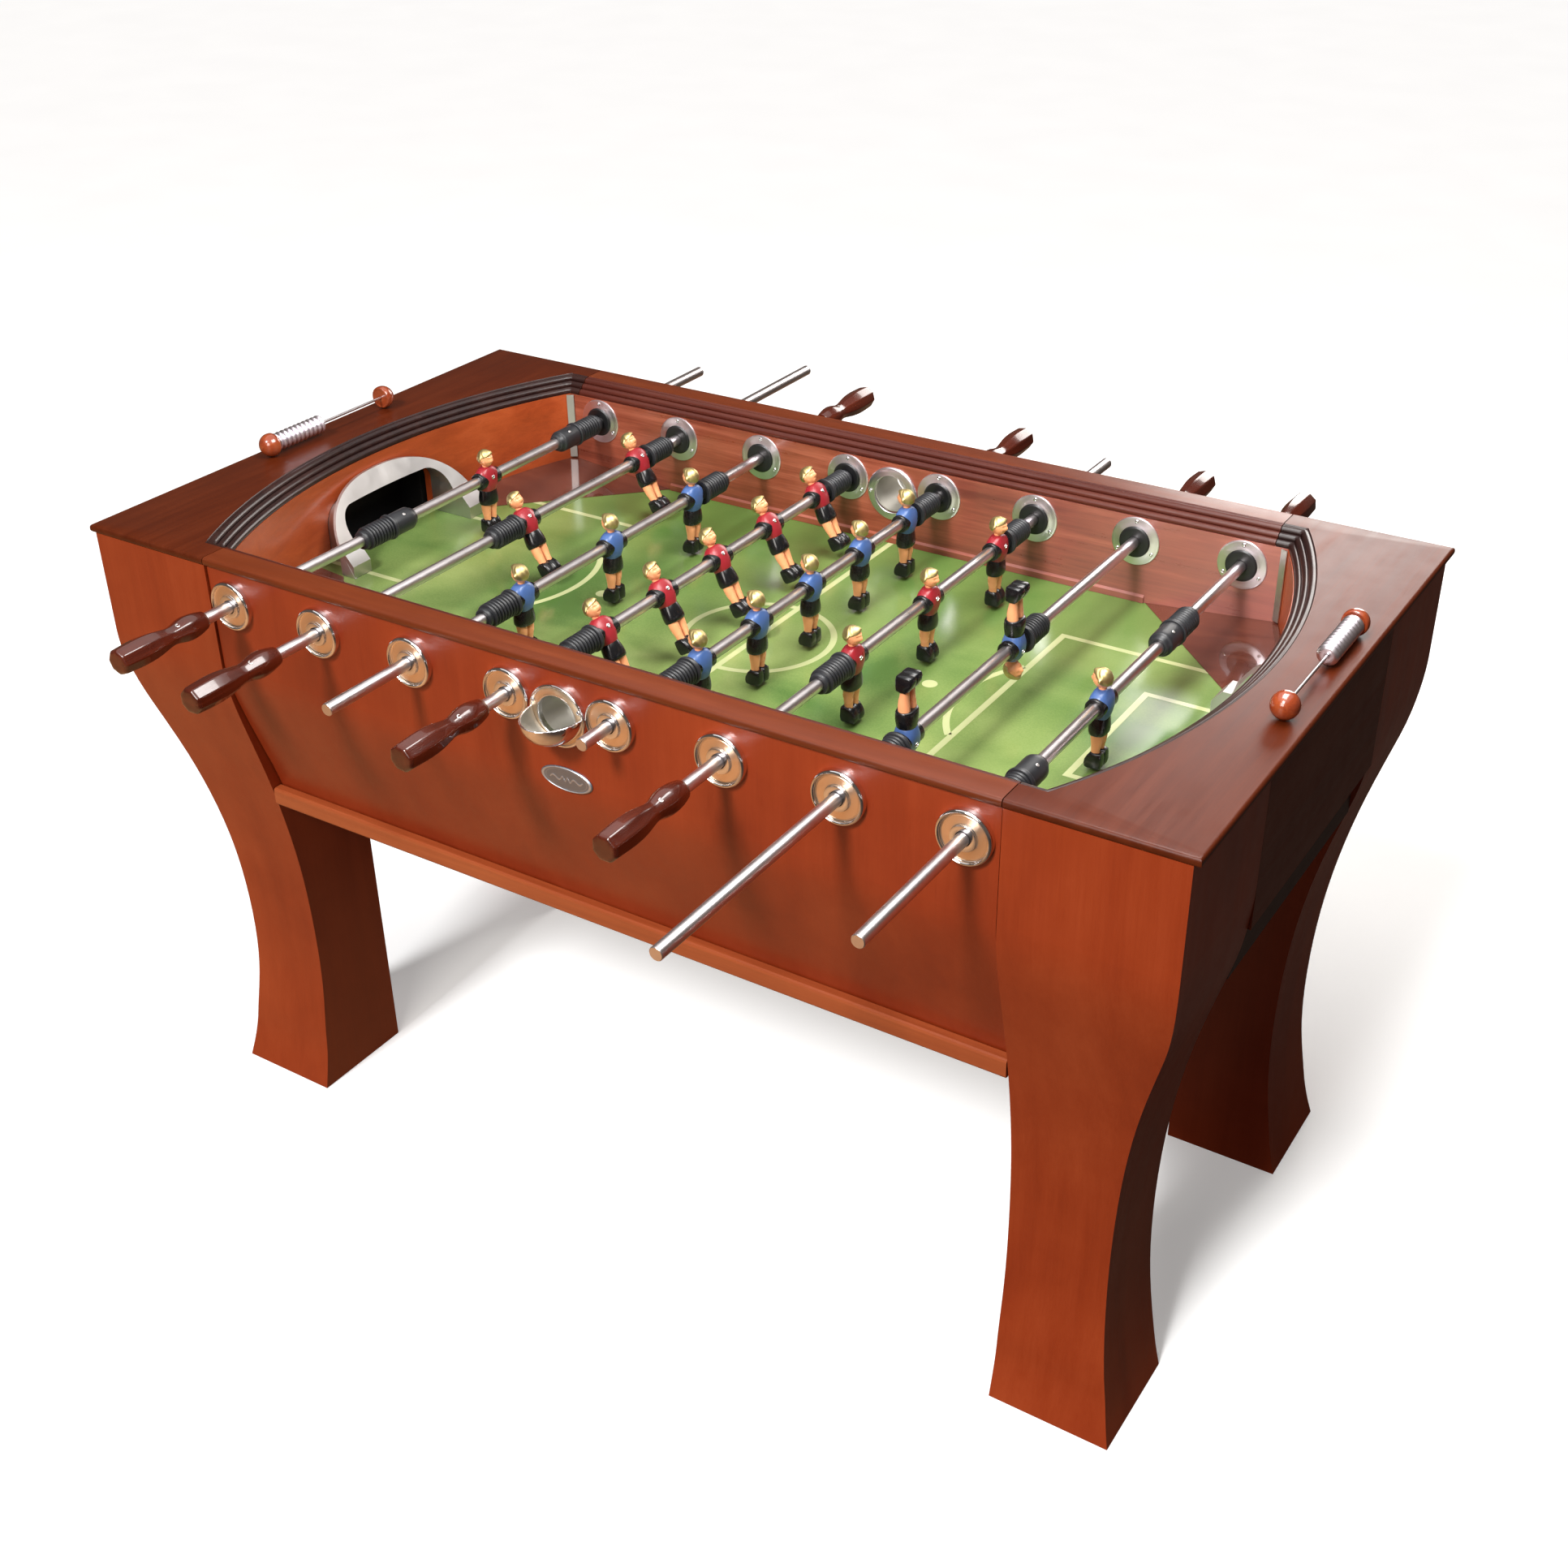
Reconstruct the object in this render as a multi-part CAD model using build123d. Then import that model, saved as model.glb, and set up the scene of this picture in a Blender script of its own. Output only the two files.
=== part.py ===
from build123d import *
import math
import os

os.makedirs("parts", exist_ok=True)

# Free-standing foosball table, millimetres.
# Origin: middle of the footprint on the floor. +X along the table, from the left end to the
# right end, +Y from the near side to the far side, +Z up.

# ---------------------------------------------------------------- driving dimensions
TABLE_L = 1550.0        # over the lips of the top boards
TABLE_W = 840.0
TABLE_H = 903.0
TOP_T = 11.0            # top board
HALF_L = 767.0          # outer face of the end panels
HALF_W = 418.0          # outer face of the legs
APRON_Y = 415.0         # the aprons stand back from the legs
SEAM_X = 565.0          # joint between an end section and a side section
BOARD = 18.0            # veneered board of legs, aprons and panels
GAP = 0.3               # joint line between boards

FIELD_Z = 758.0         # playing surface
FIELD_T = 12.0
WALL_Y = 357.0          # inner face of the side walls
WALL_T = 15.0
WALL_TOP = 880.0        # the moulding sits on the walls
ARC_R = 776.0           # inner face of the curved end walls
ARC_C = 107.0           # arc centre is this far past the middle, on the other side
MOULD_W = 24.6          # three beads on a slope
MOULD_DROP = 22.0

LEG_IN_Y = 206.0        # inner edge of a leg
LEG_TOP = 892.0
PANEL_Z = 690.0         # lower edge of the end panels
APRON_Z = 527.0         # lower edge of the side aprons

ROD_D = 15.88           # 5/8 in steel rod
ROD_Z = 845.4
PITCH = 150.0
ROD_R = ROD_D / 2
RUN_GAP = 0.3           # radial gap of rods in bushes and bumpers

RAMP_SUM = 753.0        # |x| + |y| along the foot of a corner ramp
RAMP_H = 17.0           # its height in the corner

GOAL_HALF = 108.0       # half width of the goal opening in its frame
GOAL_TOP = 838.0
GOAL_LEAN = 0.6         # the goal surround leans back this much per unit of height
GOAL_X = 600.0          # its face at field level, in the middle
BALL_D = 35.0

BUSH_FACE = 350.0       # inner face of the nylon bushes
PLATE_FACE = 424.0      # outer face of the chrome escutcheons
HANDLE_L = 138.0

# Each rod: team side it is worked from (-1 near, +1 far), distance from its middle to either
# end of the bare part, rest offset along Y, turn at rest in degrees about +Y,
# which way its figures face (+1 towards +X), figure places, bumper start and end.
RODS = [
    (-1, 548.0, 82.0, 0.0, 1, (0,), (162.0, 206.0, 264.0)),
    (-1, 608.0, 118.0, -30.0, 1, (-132, 132), (152.0, 208.0)),
    (1, 544.0, -15.0, 0.0, -1, (-190, 0, 190), (210.0, 268.0)),
    (-1, 482.0, 19.0, -30.0, 1, (-252, -126, 0, 126, 252), (272.0, 330.0)),
    (1, 482.0, 10.0, 0.0, -1, (-252, -126, 0, 126, 252), (272.0, 330.0)),
    (-1, 544.0, 52.0, 0.0, 1, (-190, 0, 190), (210.0, 268.0)),
    (1, 608.0, -140.0, 180.0, -1, (-132, 132), (152.0, 208.0)),
    (1, 548.0, -85.0, 0.0, -1, (0,), (162.0, 206.0, 264.0)),
]

# Outer faces of the flared legs, end and side, and of the aprons: half width against height.
SIDE_CURVE = [(750, 418), (700, 412.3), (645, 399), (563, 377), (469, 357), (388, 345.3),
              (310, 340), (231, 338.9), (155, 343.2), (95, 350.3), (0, 366)]
END_CURVE = [(750, 767), (700, 764.2), (654, 757), (610, 745.5), (532, 725), (438, 707.5),
             (327, 697.2), (222, 696), (127, 703.2), (35, 718), (0, 726)]
APRON_CURVE = [(750, 415), (700, 406.5), (645, 389.5), (563, 361.5), (469, 338)]


# ---------------------------------------------------------------- helpers
def block(x0, x1, y0, y1, z0, z1):
    return Pos((x0 + x1) / 2, (y0 + y1) / 2, (z0 + z1) / 2) * Box(x1 - x0, y1 - y0, z1 - z0)


def cyl_y(x, z, r, y0, y1):
    lo, hi = min(y0, y1), max(y0, y1)
    return Pos(x, (lo + hi) / 2, z) * (Rot(90, 0, 0) * Cylinder(r, hi - lo))


def cyl_z(x, y, r, z0, z1):
    return Pos(x, y, (z0 + z1) / 2) * Cylinder(r, z1 - z0)


def poly(points, direction):
    face = Face(Wire.make_polygon([Vector(*p) for p in points], close=True))
    return extrude(face, amount=Vector(*direction).length, dir=Vector(*direction).normalized())


def prism_x(yz, x0, x1):
    return poly([(x0, y, z) for y, z in yz], (x1 - x0, 0, 0))


def prism_y(xz, y0, y1):
    return poly([(x, y0, z) for x, z in xz], (0, y1 - y0, 0))


def prism_z(xy, z0, z1):
    return poly([(x, y, z0) for x, y in xy], (0, 0, z1 - z0))


def curved_slab(curve, inner, shift, z_low, z_high, along, a0, a1, end=0.24):
    """Everything between the plane `inner` and the flared outer curve moved in by `shift`,
    extruded along X or Y."""
    def at(h, z):
        return Vector(h, a0, z) if along == "y" else Vector(a0, h, z)
    pts = [at(h - shift, z) for z, h in curve]
    slope = Vector(end, 0, -1) if along == "y" else Vector(0, end, -1)
    down = Vector(0, 0, -1)
    s = Edge.make_spline(pts, tangents=[down, slope.normalized()])
    top_out = at(curve[0][1] - shift, z_high)
    top_in = at(inner, z_high)
    low_in = at(inner, curve[-1][0])
    edges = [
        Edge.make_line(low_in, top_in),
        Edge.make_line(top_in, top_out),
        Edge.make_line(top_out, pts[0]),
        s,
        Edge.make_line(pts[-1], low_in),
    ]
    face = Face(Wire(edges))
    d = Vector(0, 1, 0) if along == "y" else Vector(1, 0, 0)
    solid = extrude(face, amount=a1 - a0, dir=d)
    if z_low > curve[-1][0]:
        solid = solid & block(-900, 900, -900, 900, z_low, 1000)
    return solid


def revolve_y(rz, x, y, z):
    """Profile of (radius, y) points turned about the rod axis."""
    face = Face(Wire.make_polygon([Vector(r, yy, 0) for r, yy in rz], close=True))
    return Pos(x, y, z) * revolve(face, axis=Axis.Y, revolution_arc=360)


def flip_x(s):
    return mirror(s, about=Plane.YZ)


def flip_y(s):
    return mirror(s, about=Plane.XZ)


def four(s):
    return [s, flip_x(s), flip_y(s), flip_x(flip_y(s))]


def save(name, items):
    flat = []
    for it in items:
        flat.extend(it.solids())
    whole = Compound(children=flat) if len(flat) > 1 else flat[0]
    whole.label = name
    export_step(whole, f"parts/{name}.step")


def arc_x(r, y):
    """X of the right-hand end arc of radius r at this y."""
    return -ARC_C + math.sqrt(r * r - y * y)


def rod_x(i):
    return (i - 3.5) * PITCH


# Height of the triple-bead moulding over its own width, from the wall face outwards.
def mould_profile():
    """(distance outwards, z) down the beads and back underneath, without the flat board."""
    pts = [(GAP, WALL_TOP + GAP)]
    z0 = TABLE_H - MOULD_DROP
    along, out = (0.745, 0.667), (-0.667, 0.745)
    for k in range(3):
        cx, cz = 5.1 + 7.6 * k, z0 + 2.9 + 6.8 * k
        for a in (0, 25, 50, 75, 100, 125, 150, 172):
            t = math.radians(a)
            p, q = -5.1 * math.cos(t), 3.9 * math.sin(t)
            pts.append((cx + p * along[0] + q * out[0], cz + p * along[1] + q * out[1]))
    pts.append((MOULD_W, TABLE_H - 1.2))
    pts.append((MOULD_W, WALL_TOP + GAP))
    return pts


MOULD = mould_profile()

# ---------------------------------------------------------------- legs
leg = (curved_slab(END_CURVE, SEAM_X + 0.4, 0, 0, LEG_TOP, "y", LEG_IN_Y, 430)
       & curved_slab(SIDE_CURVE, LEG_IN_Y, 0, 0, LEG_TOP, "x", SEAM_X, 780))
core = (curved_slab(END_CURVE, SEAM_X + BOARD, BOARD, BOARD, LEG_TOP + 5, "y", LEG_IN_Y + BOARD, 430)
        & curved_slab(SIDE_CURVE, LEG_IN_Y + BOARD, BOARD, BOARD, LEG_TOP + 5, "x", SEAM_X, 780))
leg = leg - core
leg = leg - block(500, HALF_L - BOARD, 150, HALF_W - BOARD, 730, 920)
legs = four(leg)
save("leg_far_right", [legs[0]])
save("leg_far_left", [legs[1]])
save("leg_near_right", [legs[2]])
save("leg_near_left", [legs[3]])

# ---------------------------------------------------------------- side aprons
apron = (curved_slab(APRON_CURVE, 300, 0, APRON_Z, LEG_TOP, "x", -SEAM_X + 1.6, SEAM_X - 1.6, end=-0.22)
         - curved_slab(APRON_CURVE, 250, BOARD, APRON_Z - 5, LEG_TOP + 5, "x", -SEAM_X, SEAM_X, end=-0.22))
HOLE_R = 12.9
PORT_R = 28.0
PORT_Z = 836.0
for i in range(8):
    apron = apron - cyl_y(rod_x(i), ROD_Z, HOLE_R, 380, 430)
apron = apron - cyl_y(0, PORT_Z, PORT_R, 380, 430)
save("side_aprons", [apron, flip_y(apron)])

# rebated strip under each apron, standing out in front of it
trim = prism_x([(356.2, 537.0), (366.5, 537.0), (369.0, 535.8), (369.8, 533.0), (369.8, 514.0), (368.6, 512.0),
                (366.0, 511.0), (338.0, 511.0), (338.0, 526.6), (356.2, 526.6)], -SEAM_X + 1, SEAM_X - 1)
save("bottom_trims", [trim, flip_y(trim)])

# ---------------------------------------------------------------- side walls
wall = block(-598, 598, WALL_Y, WALL_Y + WALL_T, 746, WALL_TOP)
for i in range(8):
    wall = wall - cyl_y(rod_x(i), ROD_Z, HOLE_R, 340, 390)
wall = wall - cyl_y(0, PORT_Z, PORT_R, 340, 390)
base_strip = prism_x([(WALL_Y - 0.2, 758.3), (WALL_Y - 3.2, 758.3), (WALL_Y - 3.2, 766.5),
                      (WALL_Y - 0.2, 769.5)], -394, 394)
save("side_walls", [wall, flip_y(wall), base_strip, flip_y(base_strip)])

# ---------------------------------------------------------------- end walls
def arch(half, top, x0, x1, r):
    b = block(x0, x1, -half, half, 740, top)
    es = [e for e in b.edges().filter_by(Axis.X) if e.center().Z > top - 1]
    return fillet(es, r)


shell = (cyl_z(-ARC_C, 0, ARC_R + WALL_T, 746, WALL_TOP) - cyl_z(-ARC_C, 0, ARC_R, 740, 900))
shell = shell & block(300, 900, -WALL_Y + GAP, WALL_Y - GAP, 700, 900)
shell = shell - (arch(GOAL_HALF + 3.5, GOAL_TOP + 3.3, 600, 750, 33.5) & block(600, 750, -150, 150, 757, 880))
save("end_walls", [shell, flip_x(shell)])

# ---------------------------------------------------------------- playfield and bottom
field = block(-700, 700, -WALL_Y + GAP, WALL_Y - GAP, FIELD_Z - FIELD_T, FIELD_Z)
field = field & cyl_z(-ARC_C, 0, ARC_R - GAP, 700, 800)
field = field & cyl_z(ARC_C, 0, ARC_R - GAP, 700, 800)
save("playfield", [field])
floor_board = block(-SEAM_X + 1, SEAM_X - 1, -335, 335, 545, 557)
bulkhead = block(SEAM_X - 19, SEAM_X - 1, -338, 338, 557.3, 745.7)
end_floor = block(SEAM_X - 0.5, HALF_L - 2 * BOARD - 2.5, -LEG_IN_Y + 0.6, LEG_IN_Y - 0.6, 686, 700.6)
save("cabinet_bottom", [floor_board, bulkhead, flip_x(bulkhead), end_floor, flip_x(end_floor)])

# ---------------------------------------------------------------- corner ramps and strips
d_corner = (582.0 + WALL_Y - RAMP_SUM) / math.sqrt(2)
u = Vector(1, 1, 0).normalized()
v = Vector(-1, 1, 0).normalized()
foot = Vector(RAMP_SUM / 2, RAMP_SUM / 2, 0)


def ramp_pt(d, z, s):
    p = foot + u * d + v * s
    return (p.X, p.Y, z)


rise = RAMP_H / d_corner
wedge = poly([ramp_pt(0, FIELD_Z + 0.2, -400), ramp_pt(0, FIELD_Z + 0.9, -400),
              ramp_pt(170, FIELD_Z + 0.9 + 170 * rise, -400), ramp_pt(170, FIELD_Z + 0.2, -400)],
             tuple(v * 800))
wedge = wedge & block(300, 680, 146, WALL_Y - 0.6, 750, 850)
wedge = wedge & cyl_z(-ARC_C, 0, ARC_R - 0.6, 740, 900)
save("corner_ramps", four(wedge))

strip_n = Vector(-0.52, -0.854, 0).normalized()
strip_t = Vector(strip_n.Y, -strip_n.X, 0)
corner = Vector(arc_x(ARC_R, WALL_Y), WALL_Y, 0)
c0 = corner + strip_n * 4.3
c1 = c0 + strip_n * 1.4
z_strip = FIELD_Z + RAMP_H + 3.0
strip = prism_z([tuple(c0 + strip_t * 5.5)[:2], tuple(c1 + strip_t * 5.5)[:2],
                 tuple(c1 - strip_t * 5.5)[:2], tuple(c0 - strip_t * 5.5)[:2]], z_strip, WALL_TOP - 0.5)
save("corner_strips", four(strip))

# ---------------------------------------------------------------- top boards with moulding
LIP_Y = TABLE_W / 2
LIP_X = TABLE_L / 2
TOP_IN = WALL_Y + MOULD_W
z_b = TABLE_H - TOP_T + GAP


side_sec = [(WALL_Y + d, z) for d, z in MOULD[:-2]]
side_sec += [(TOP_IN, TABLE_H), (LIP_Y - 3.0, TABLE_H), (LIP_Y - 0.9, TABLE_H - 0.9), (LIP_Y, TABLE_H - 3.0),
             (LIP_Y, z_b + 3), (LIP_Y - 0.9, z_b + 0.9), (LIP_Y - 3.0, z_b), (TOP_IN, z_b),
             (TOP_IN, WALL_TOP + GAP)]
side_top = prism_x(side_sec, -SEAM_X + 0.4, SEAM_X - 0.4)
save("side_tops", [side_top, flip_y(side_top)])

# End board: the same section follows the arc, and the side moulding runs into it.
r_in, r_out = ARC_R, ARC_R + MOULD_W
ring_face = Face(Wire.make_polygon([Vector(ARC_R + d, 0, z) for d, z in MOULD], close=True))
ring = revolve(ring_face, axis=Axis.Z, revolution_arc=360)
ring = Pos(-ARC_C, 0, 0) * ring
ring = ring & block(400, 760, -TOP_IN, TOP_IN, 870, 920)
ring = ring & block(SEAM_X + 0.4, 760, -TOP_IN, TOP_IN, 870, 920)
band_sec = [(WALL_Y + d, z) for d, z in MOULD]
band = prism_x(band_sec, SEAM_X + 0.4, 640) & cyl_z(-ARC_C, 0, r_out, 870, 920)
plate = prism_y([(SEAM_X + 0.4, z_b), (LIP_X - 3, z_b), (LIP_X - 0.9, z_b + 0.9), (LIP_X, z_b + 3), (LIP_X, TABLE_H - 3),
                 (LIP_X - 0.9, TABLE_H - 0.9), (LIP_X - 3, TABLE_H), (SEAM_X + 0.4, TABLE_H)], -LIP_Y, LIP_Y)
trim_y = prism_x([(-LIP_Y + 3, z_b), (-LIP_Y + 0.9, z_b + 0.9), (-LIP_Y, z_b + 3), (-LIP_Y, TABLE_H - 3),
                  (-LIP_Y + 0.9, TABLE_H - 0.9), (-LIP_Y + 3, TABLE_H), (LIP_Y - 3, TABLE_H), (LIP_Y - 0.9, TABLE_H - 0.9),
                  (LIP_Y, TABLE_H - 3), (LIP_Y, z_b + 3), (LIP_Y - 0.9, z_b + 0.9), (LIP_Y - 3, z_b)], 500, 800)
plate = plate & trim_y
well = block(400, 760, -TOP_IN + 0.01, TOP_IN - 0.01, 860, 930) & cyl_z(-ARC_C, 0, r_out - 0.01, 860, 930)
end_top = (plate - well) + ring + band + flip_y(band)
save("end_tops", [end_top, flip_x(end_top)])

# ---------------------------------------------------------------- end panels and rails
panel = block(HALF_L - BOARD, HALF_L, -LEG_IN_Y + 0.4, LEG_IN_Y - 0.4, PANEL_Z, LEG_TOP)
save("end_panels", [panel, flip_x(panel)])
rail = block(HALF_L - 2 * BOARD - 2, HALF_L - BOARD - 0.4, -LEG_IN_Y + 0.6, LEG_IN_Y - 0.6, 617, 699)
save("end_rails", [rail, flip_x(rail)])

# ---------------------------------------------------------------- goals
gx = 792.0 - ARC_C + 0.5
gbox = (block(gx, 746, -126, 126, 701, 870) - block(gx + 4, 742, -122, 122, 705, 866)
        - block(gx - 5, gx + 5, -GOAL_HALF - 3, GOAL_HALF + 3, 757, GOAL_TOP + 3))
save("goal_boxes", [gbox, flip_x(gbox)])

R_ARCH = 30.0


def leaning_band(r0, r1):
    """Slab between two arcs parallel to the end wall, leaning back with height."""
    cx = GOAL_X - ARC_R
    a, b = math.asin(150.0 / r0), math.asin(150.0 / r1)

    def at(r, t):
        return Vector(cx + r * math.cos(t), r * math.sin(t), FIELD_Z + GAP)
    edges = [
        Edge.make_three_point_arc(at(r0, -a), at(r0, 0), at(r0, a)),
        Edge.make_line(at(r0, a), at(r1, b)),
        Edge.make_three_point_arc(at(r1, b), at(r1, 0), at(r1, -b)),
        Edge.make_line(at(r1, -b), at(r0, -a)),
    ]
    d = Vector(GOAL_LEAN * 120, 0, 120)
    return extrude(Face(Wire(edges)), amount=d.length, dir=d.normalized())


outline = [(-143.0, FIELD_Z + GAP)]
for k in range(41):
    t = math.pi * (1 - k / 40)
    c, q = math.cos(t), math.sin(t)
    outline.append((math.copysign(143.0 * abs(c) ** (2 / 2.4), c), 770.0 + 94.0 * abs(q) ** (2 / 2.4)))
outline.append((143.0, FIELD_Z + GAP))
inner_arch = arch(GOAL_HALF, GOAL_TOP, 550, 700, R_ARCH)
face_plate = (leaning_band(ARC_R, ARC_R + 4.5) & prism_x(outline, 560, 700)) - inner_arch
# returns from the plate back to the end wall, round the opening
liner = (arch(GOAL_HALF + 3.0, GOAL_TOP + 2.8, 560, 690, R_ARCH + 3) - inner_arch) & leaning_band(ARC_R + 1, ARC_R + 104)
foot_out = prism_y([(588, FIELD_Z + GAP), (588, 776), (601, 792), (612, 792), (612, FIELD_Z + GAP)], GOAL_HALF, 142.5)
goal = face_plate + liner + foot_out + flip_y(foot_out)
goal = goal & cyl_z(-ARC_C, 0, ARC_R - 0.4, 740, 900)
save("goal_frames", [goal, flip_x(goal)])

# ---------------------------------------------------------------- ball entries
disc = cyl_y(0, PORT_Z, 40.0, APRON_Y + 0.2, HALF_W + 4.0)
disc = disc - cyl_y(0, PORT_Z, 26.0, 400, 440)
bowl_z = 841.0
bowl = Pos(0, HALF_W + 4.0, bowl_z) * scale(Sphere(1), by=(37.0, 50.0, 36.0))
bowl_in = Pos(0, HALF_W + 4.0, bowl_z) * scale(Sphere(1), by=(34.6, 47.6, 33.6))
scoop = (bowl - bowl_in) & block(-60, 60, HALF_W + 3.9, 500, 760, bowl_z)
entry = disc + scoop
tube = cyl_y(0, PORT_Z, 27.7, WALL_Y - 3, APRON_Y - 0.1) - cyl_y(0, PORT_Z, 26.0, 340, 430)
inner_ring = cyl_y(0, PORT_Z - 1.5, 40.3, WALL_Y - 5, WALL_Y - 0.3) - cyl_y(0, PORT_Z, 27.9, 340, 370)
save("ball_entries", [entry, tube, inner_ring, flip_y(entry), flip_y(tube), flip_y(inner_ring)])

# ---------------------------------------------------------------- bearings
flanges, bushes, screws = [], [], []
outer_f = cyl_y(0, ROD_Z, 33.0, APRON_Y + 0.2, PLATE_FACE)
outer_f = outer_f - (cyl_y(0, ROD_Z, 28.0, PLATE_FACE - 3.4, PLATE_FACE + 5) - cyl_y(0, ROD_Z, 15.5, 400, 440))
outer_f = outer_f - cyl_y(0, ROD_Z, 12.7, 400, 440)
inner_f = cyl_y(0, ROD_Z, 34.3, WALL_Y - 4.0, WALL_Y - 0.2) - cyl_y(0, ROD_Z, 12.7, 340, 370)
bush = cyl_y(0, ROD_Z, 12.5, BUSH_FACE, PLATE_FACE - 1.2) + cyl_y(0, ROD_Z, 22.0, BUSH_FACE, WALL_Y - 4.2)
bush = bush - cyl_y(0, ROD_Z, ROD_R + RUN_GAP, 340, 440)
for i in range(8):
    for s in (outer_f, inner_f):
        m = Pos(rod_x(i), 0, 0) * s
        flanges += [m, flip_y(m)]
    m = Pos(rod_x(i), 0, 0) * bush
    bushes += [m, flip_y(m)]
    for a in (90, 210, 330):
        c, s = math.cos(math.radians(a)), math.sin(math.radians(a))
        n = cyl_y(rod_x(i) + 28.5 * c, ROD_Z + 28.5 * s, 2.6, WALL_Y - 5.6, WALL_Y - 4.1)
        screws += [n, flip_y(n)]
for sx in (-1, 1):
    # below the scoop's rim the plate is covered, so these sit beside the hole
    o = cyl_y(sx * 33.0, PORT_Z + 14.0, 2.6, HALF_W + 4.1, HALF_W + 5.6)
    n = cyl_y(sx * 34.2, PORT_Z - 1.5, 2.6, WALL_Y - 6.6, WALL_Y - 5.1)
    screws += [o, flip_y(o), n, flip_y(n)]
save("bearing_flanges", flanges)
save("bearing_bushes", bushes)
save("screws", screws)

# ---------------------------------------------------------------- badge
badge = Pos(0, 0, 0) * extrude(Plane(origin=(3, -APRON_Y - 0.3, 750.5), x_dir=(1, 0, 0), z_dir=(0, -1, 0))
                               * Ellipse(38, 16), amount=2.4)
save("badge", [badge])

# ---------------------------------------------------------------- scorers
KNOB_R = 16.5
S_Z = TABLE_H + 0.3 + KNOB_R
S_X = 745.0
S_NEAR, S_FAR = -118.0, 113.0
knobs, srods = [], []
for x in (-S_X, S_X):
    for y, d in ((S_NEAR, 1), (S_FAR, -1)):
        k = Pos(x, y, S_Z) * Sphere(KNOB_R)
        face_y = y + d * 6.0
        cut = block(x - 30, x + 30, face_y, face_y + 40, S_Z - 30, S_Z + 30) if d > 0 else \
            block(x - 30, x + 30, face_y - 40, face_y, S_Z - 30, S_Z + 30)
        k = k - cut
        k = k - cyl_y(x, S_Z, 2.2, y - d * 4.0, y + d * 30)
        knobs.append(k)
    srods.append(cyl_y(x, S_Z, 2.0, S_NEAR - 3.8, S_FAR + 3.8))
save("score_balls", knobs)
save("score_rods", srods)
BEAD_T, BEAD_STEP, BEAD_R = 8.2, 8.5, 13.2
bead_n = 11
bl, br = [], []
for k in range(bead_n):
    y0 = S_NEAR + 6.0 + 0.4 + k * BEAD_STEP
    y1 = S_FAR - 6.0 - 0.4 - k * BEAD_STEP
    prof = [(2.3, 0.4), (BEAD_R - 4.7, 0.4), (BEAD_R - 1.6, 1.9), (BEAD_R, BEAD_T / 2), (BEAD_R - 1.6, BEAD_T - 1.9),
            (BEAD_R - 4.7, BEAD_T - 0.4), (2.3, BEAD_T - 0.4)]
    bl.append(revolve_y(prof, -S_X, y0, S_Z))
    br.append(revolve_y(prof, S_X, y1 - BEAD_T, S_Z))
save("beads_left", bl)
save("beads_right", br)

# ---------------------------------------------------------------- ball
save("ball", [Pos(0, 0, FIELD_Z + BALL_D / 2 + 0.02) * Sphere(BALL_D / 2)])


# ---------------------------------------------------------------- figures
def figure():
    """One figure about its rod axis: width along Y, facing +X, head up."""
    torso = poly([(-9.5, -19.5, -18), (10.5, -19.5, -18), (11.8, -19.5, 4), (10.0, -19.5, 14), (5.0, -19.5, 18),
                  (-5.0, -19.5, 18), (-10.0, -19.5, 14), (-11.8, -19.5, 4)], (0, 39, 0))
    vert = [e for e in torso.edges().filter_by(Axis.Y)]
    torso = fillet(vert, 1.5)
    neck = Pos(0, 0, 20) * Cylinder(5.5, 8)
    head = Pos(0.5, 0, 31) * scale(Sphere(1), by=(11.5, 10.5, 11.2))
    shorts = Pos(0, 0, -27.5) * Box(19, 30, 20)
    shorts = fillet(shorts.edges().filter_by(Axis.Z), 5)
    legs_ = [Pos(0, s * 7.2, -50) * Cylinder(6.2, 28) for s in (-1, 1)]
    boots = poly([(-9, -14, -62), (4.5, -14, -62), (11.8, -14, -75), (11.8, -14, -81.2), (-9, -14, -81.2)], (0, 28, 0))
    fig = torso + neck + head + shorts + legs_[0] + legs_[1] + boots
    return fig - cyl_y(0, 0, ROD_R + 0.12, -30, 30)


FIG = figure()


def bumper(n):
    """Rubber stop lying along +Y from 0: flange towards the figures, then the body."""
    return [(ROD_R + RUN_GAP, 0), (18.0, 0), (18.0, 4.5), (15.2, 6.0), (15.2, n - 1.5), (13.8, n), (ROD_R + RUN_GAP, n)]


def collar(n):
    return [(ROD_R + RUN_GAP, 0), (11.5, 0), (13.0, 1.5), (13.0, 6.0), (16.0, 8.0), (16.0, n), (ROD_R + RUN_GAP, n)]


def handle():
    """Grip lying along +Y from its inner end at 0."""
    rb = ROD_R + 0.12
    out = [(rb, 0), (11.5, 0), (12.6, 1.5), (15.5, 16), (16.4, 28), (15.2, 38), (12.2, 50), (12.2, 57), (15.5, 78), (18.0, 96),
           (18.4, 106), (17.6, 122), (16.8, 132), (13.5, HANDLE_L), (0, HANDLE_L), (0, 104), (rb, 104)]
    return out


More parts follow.
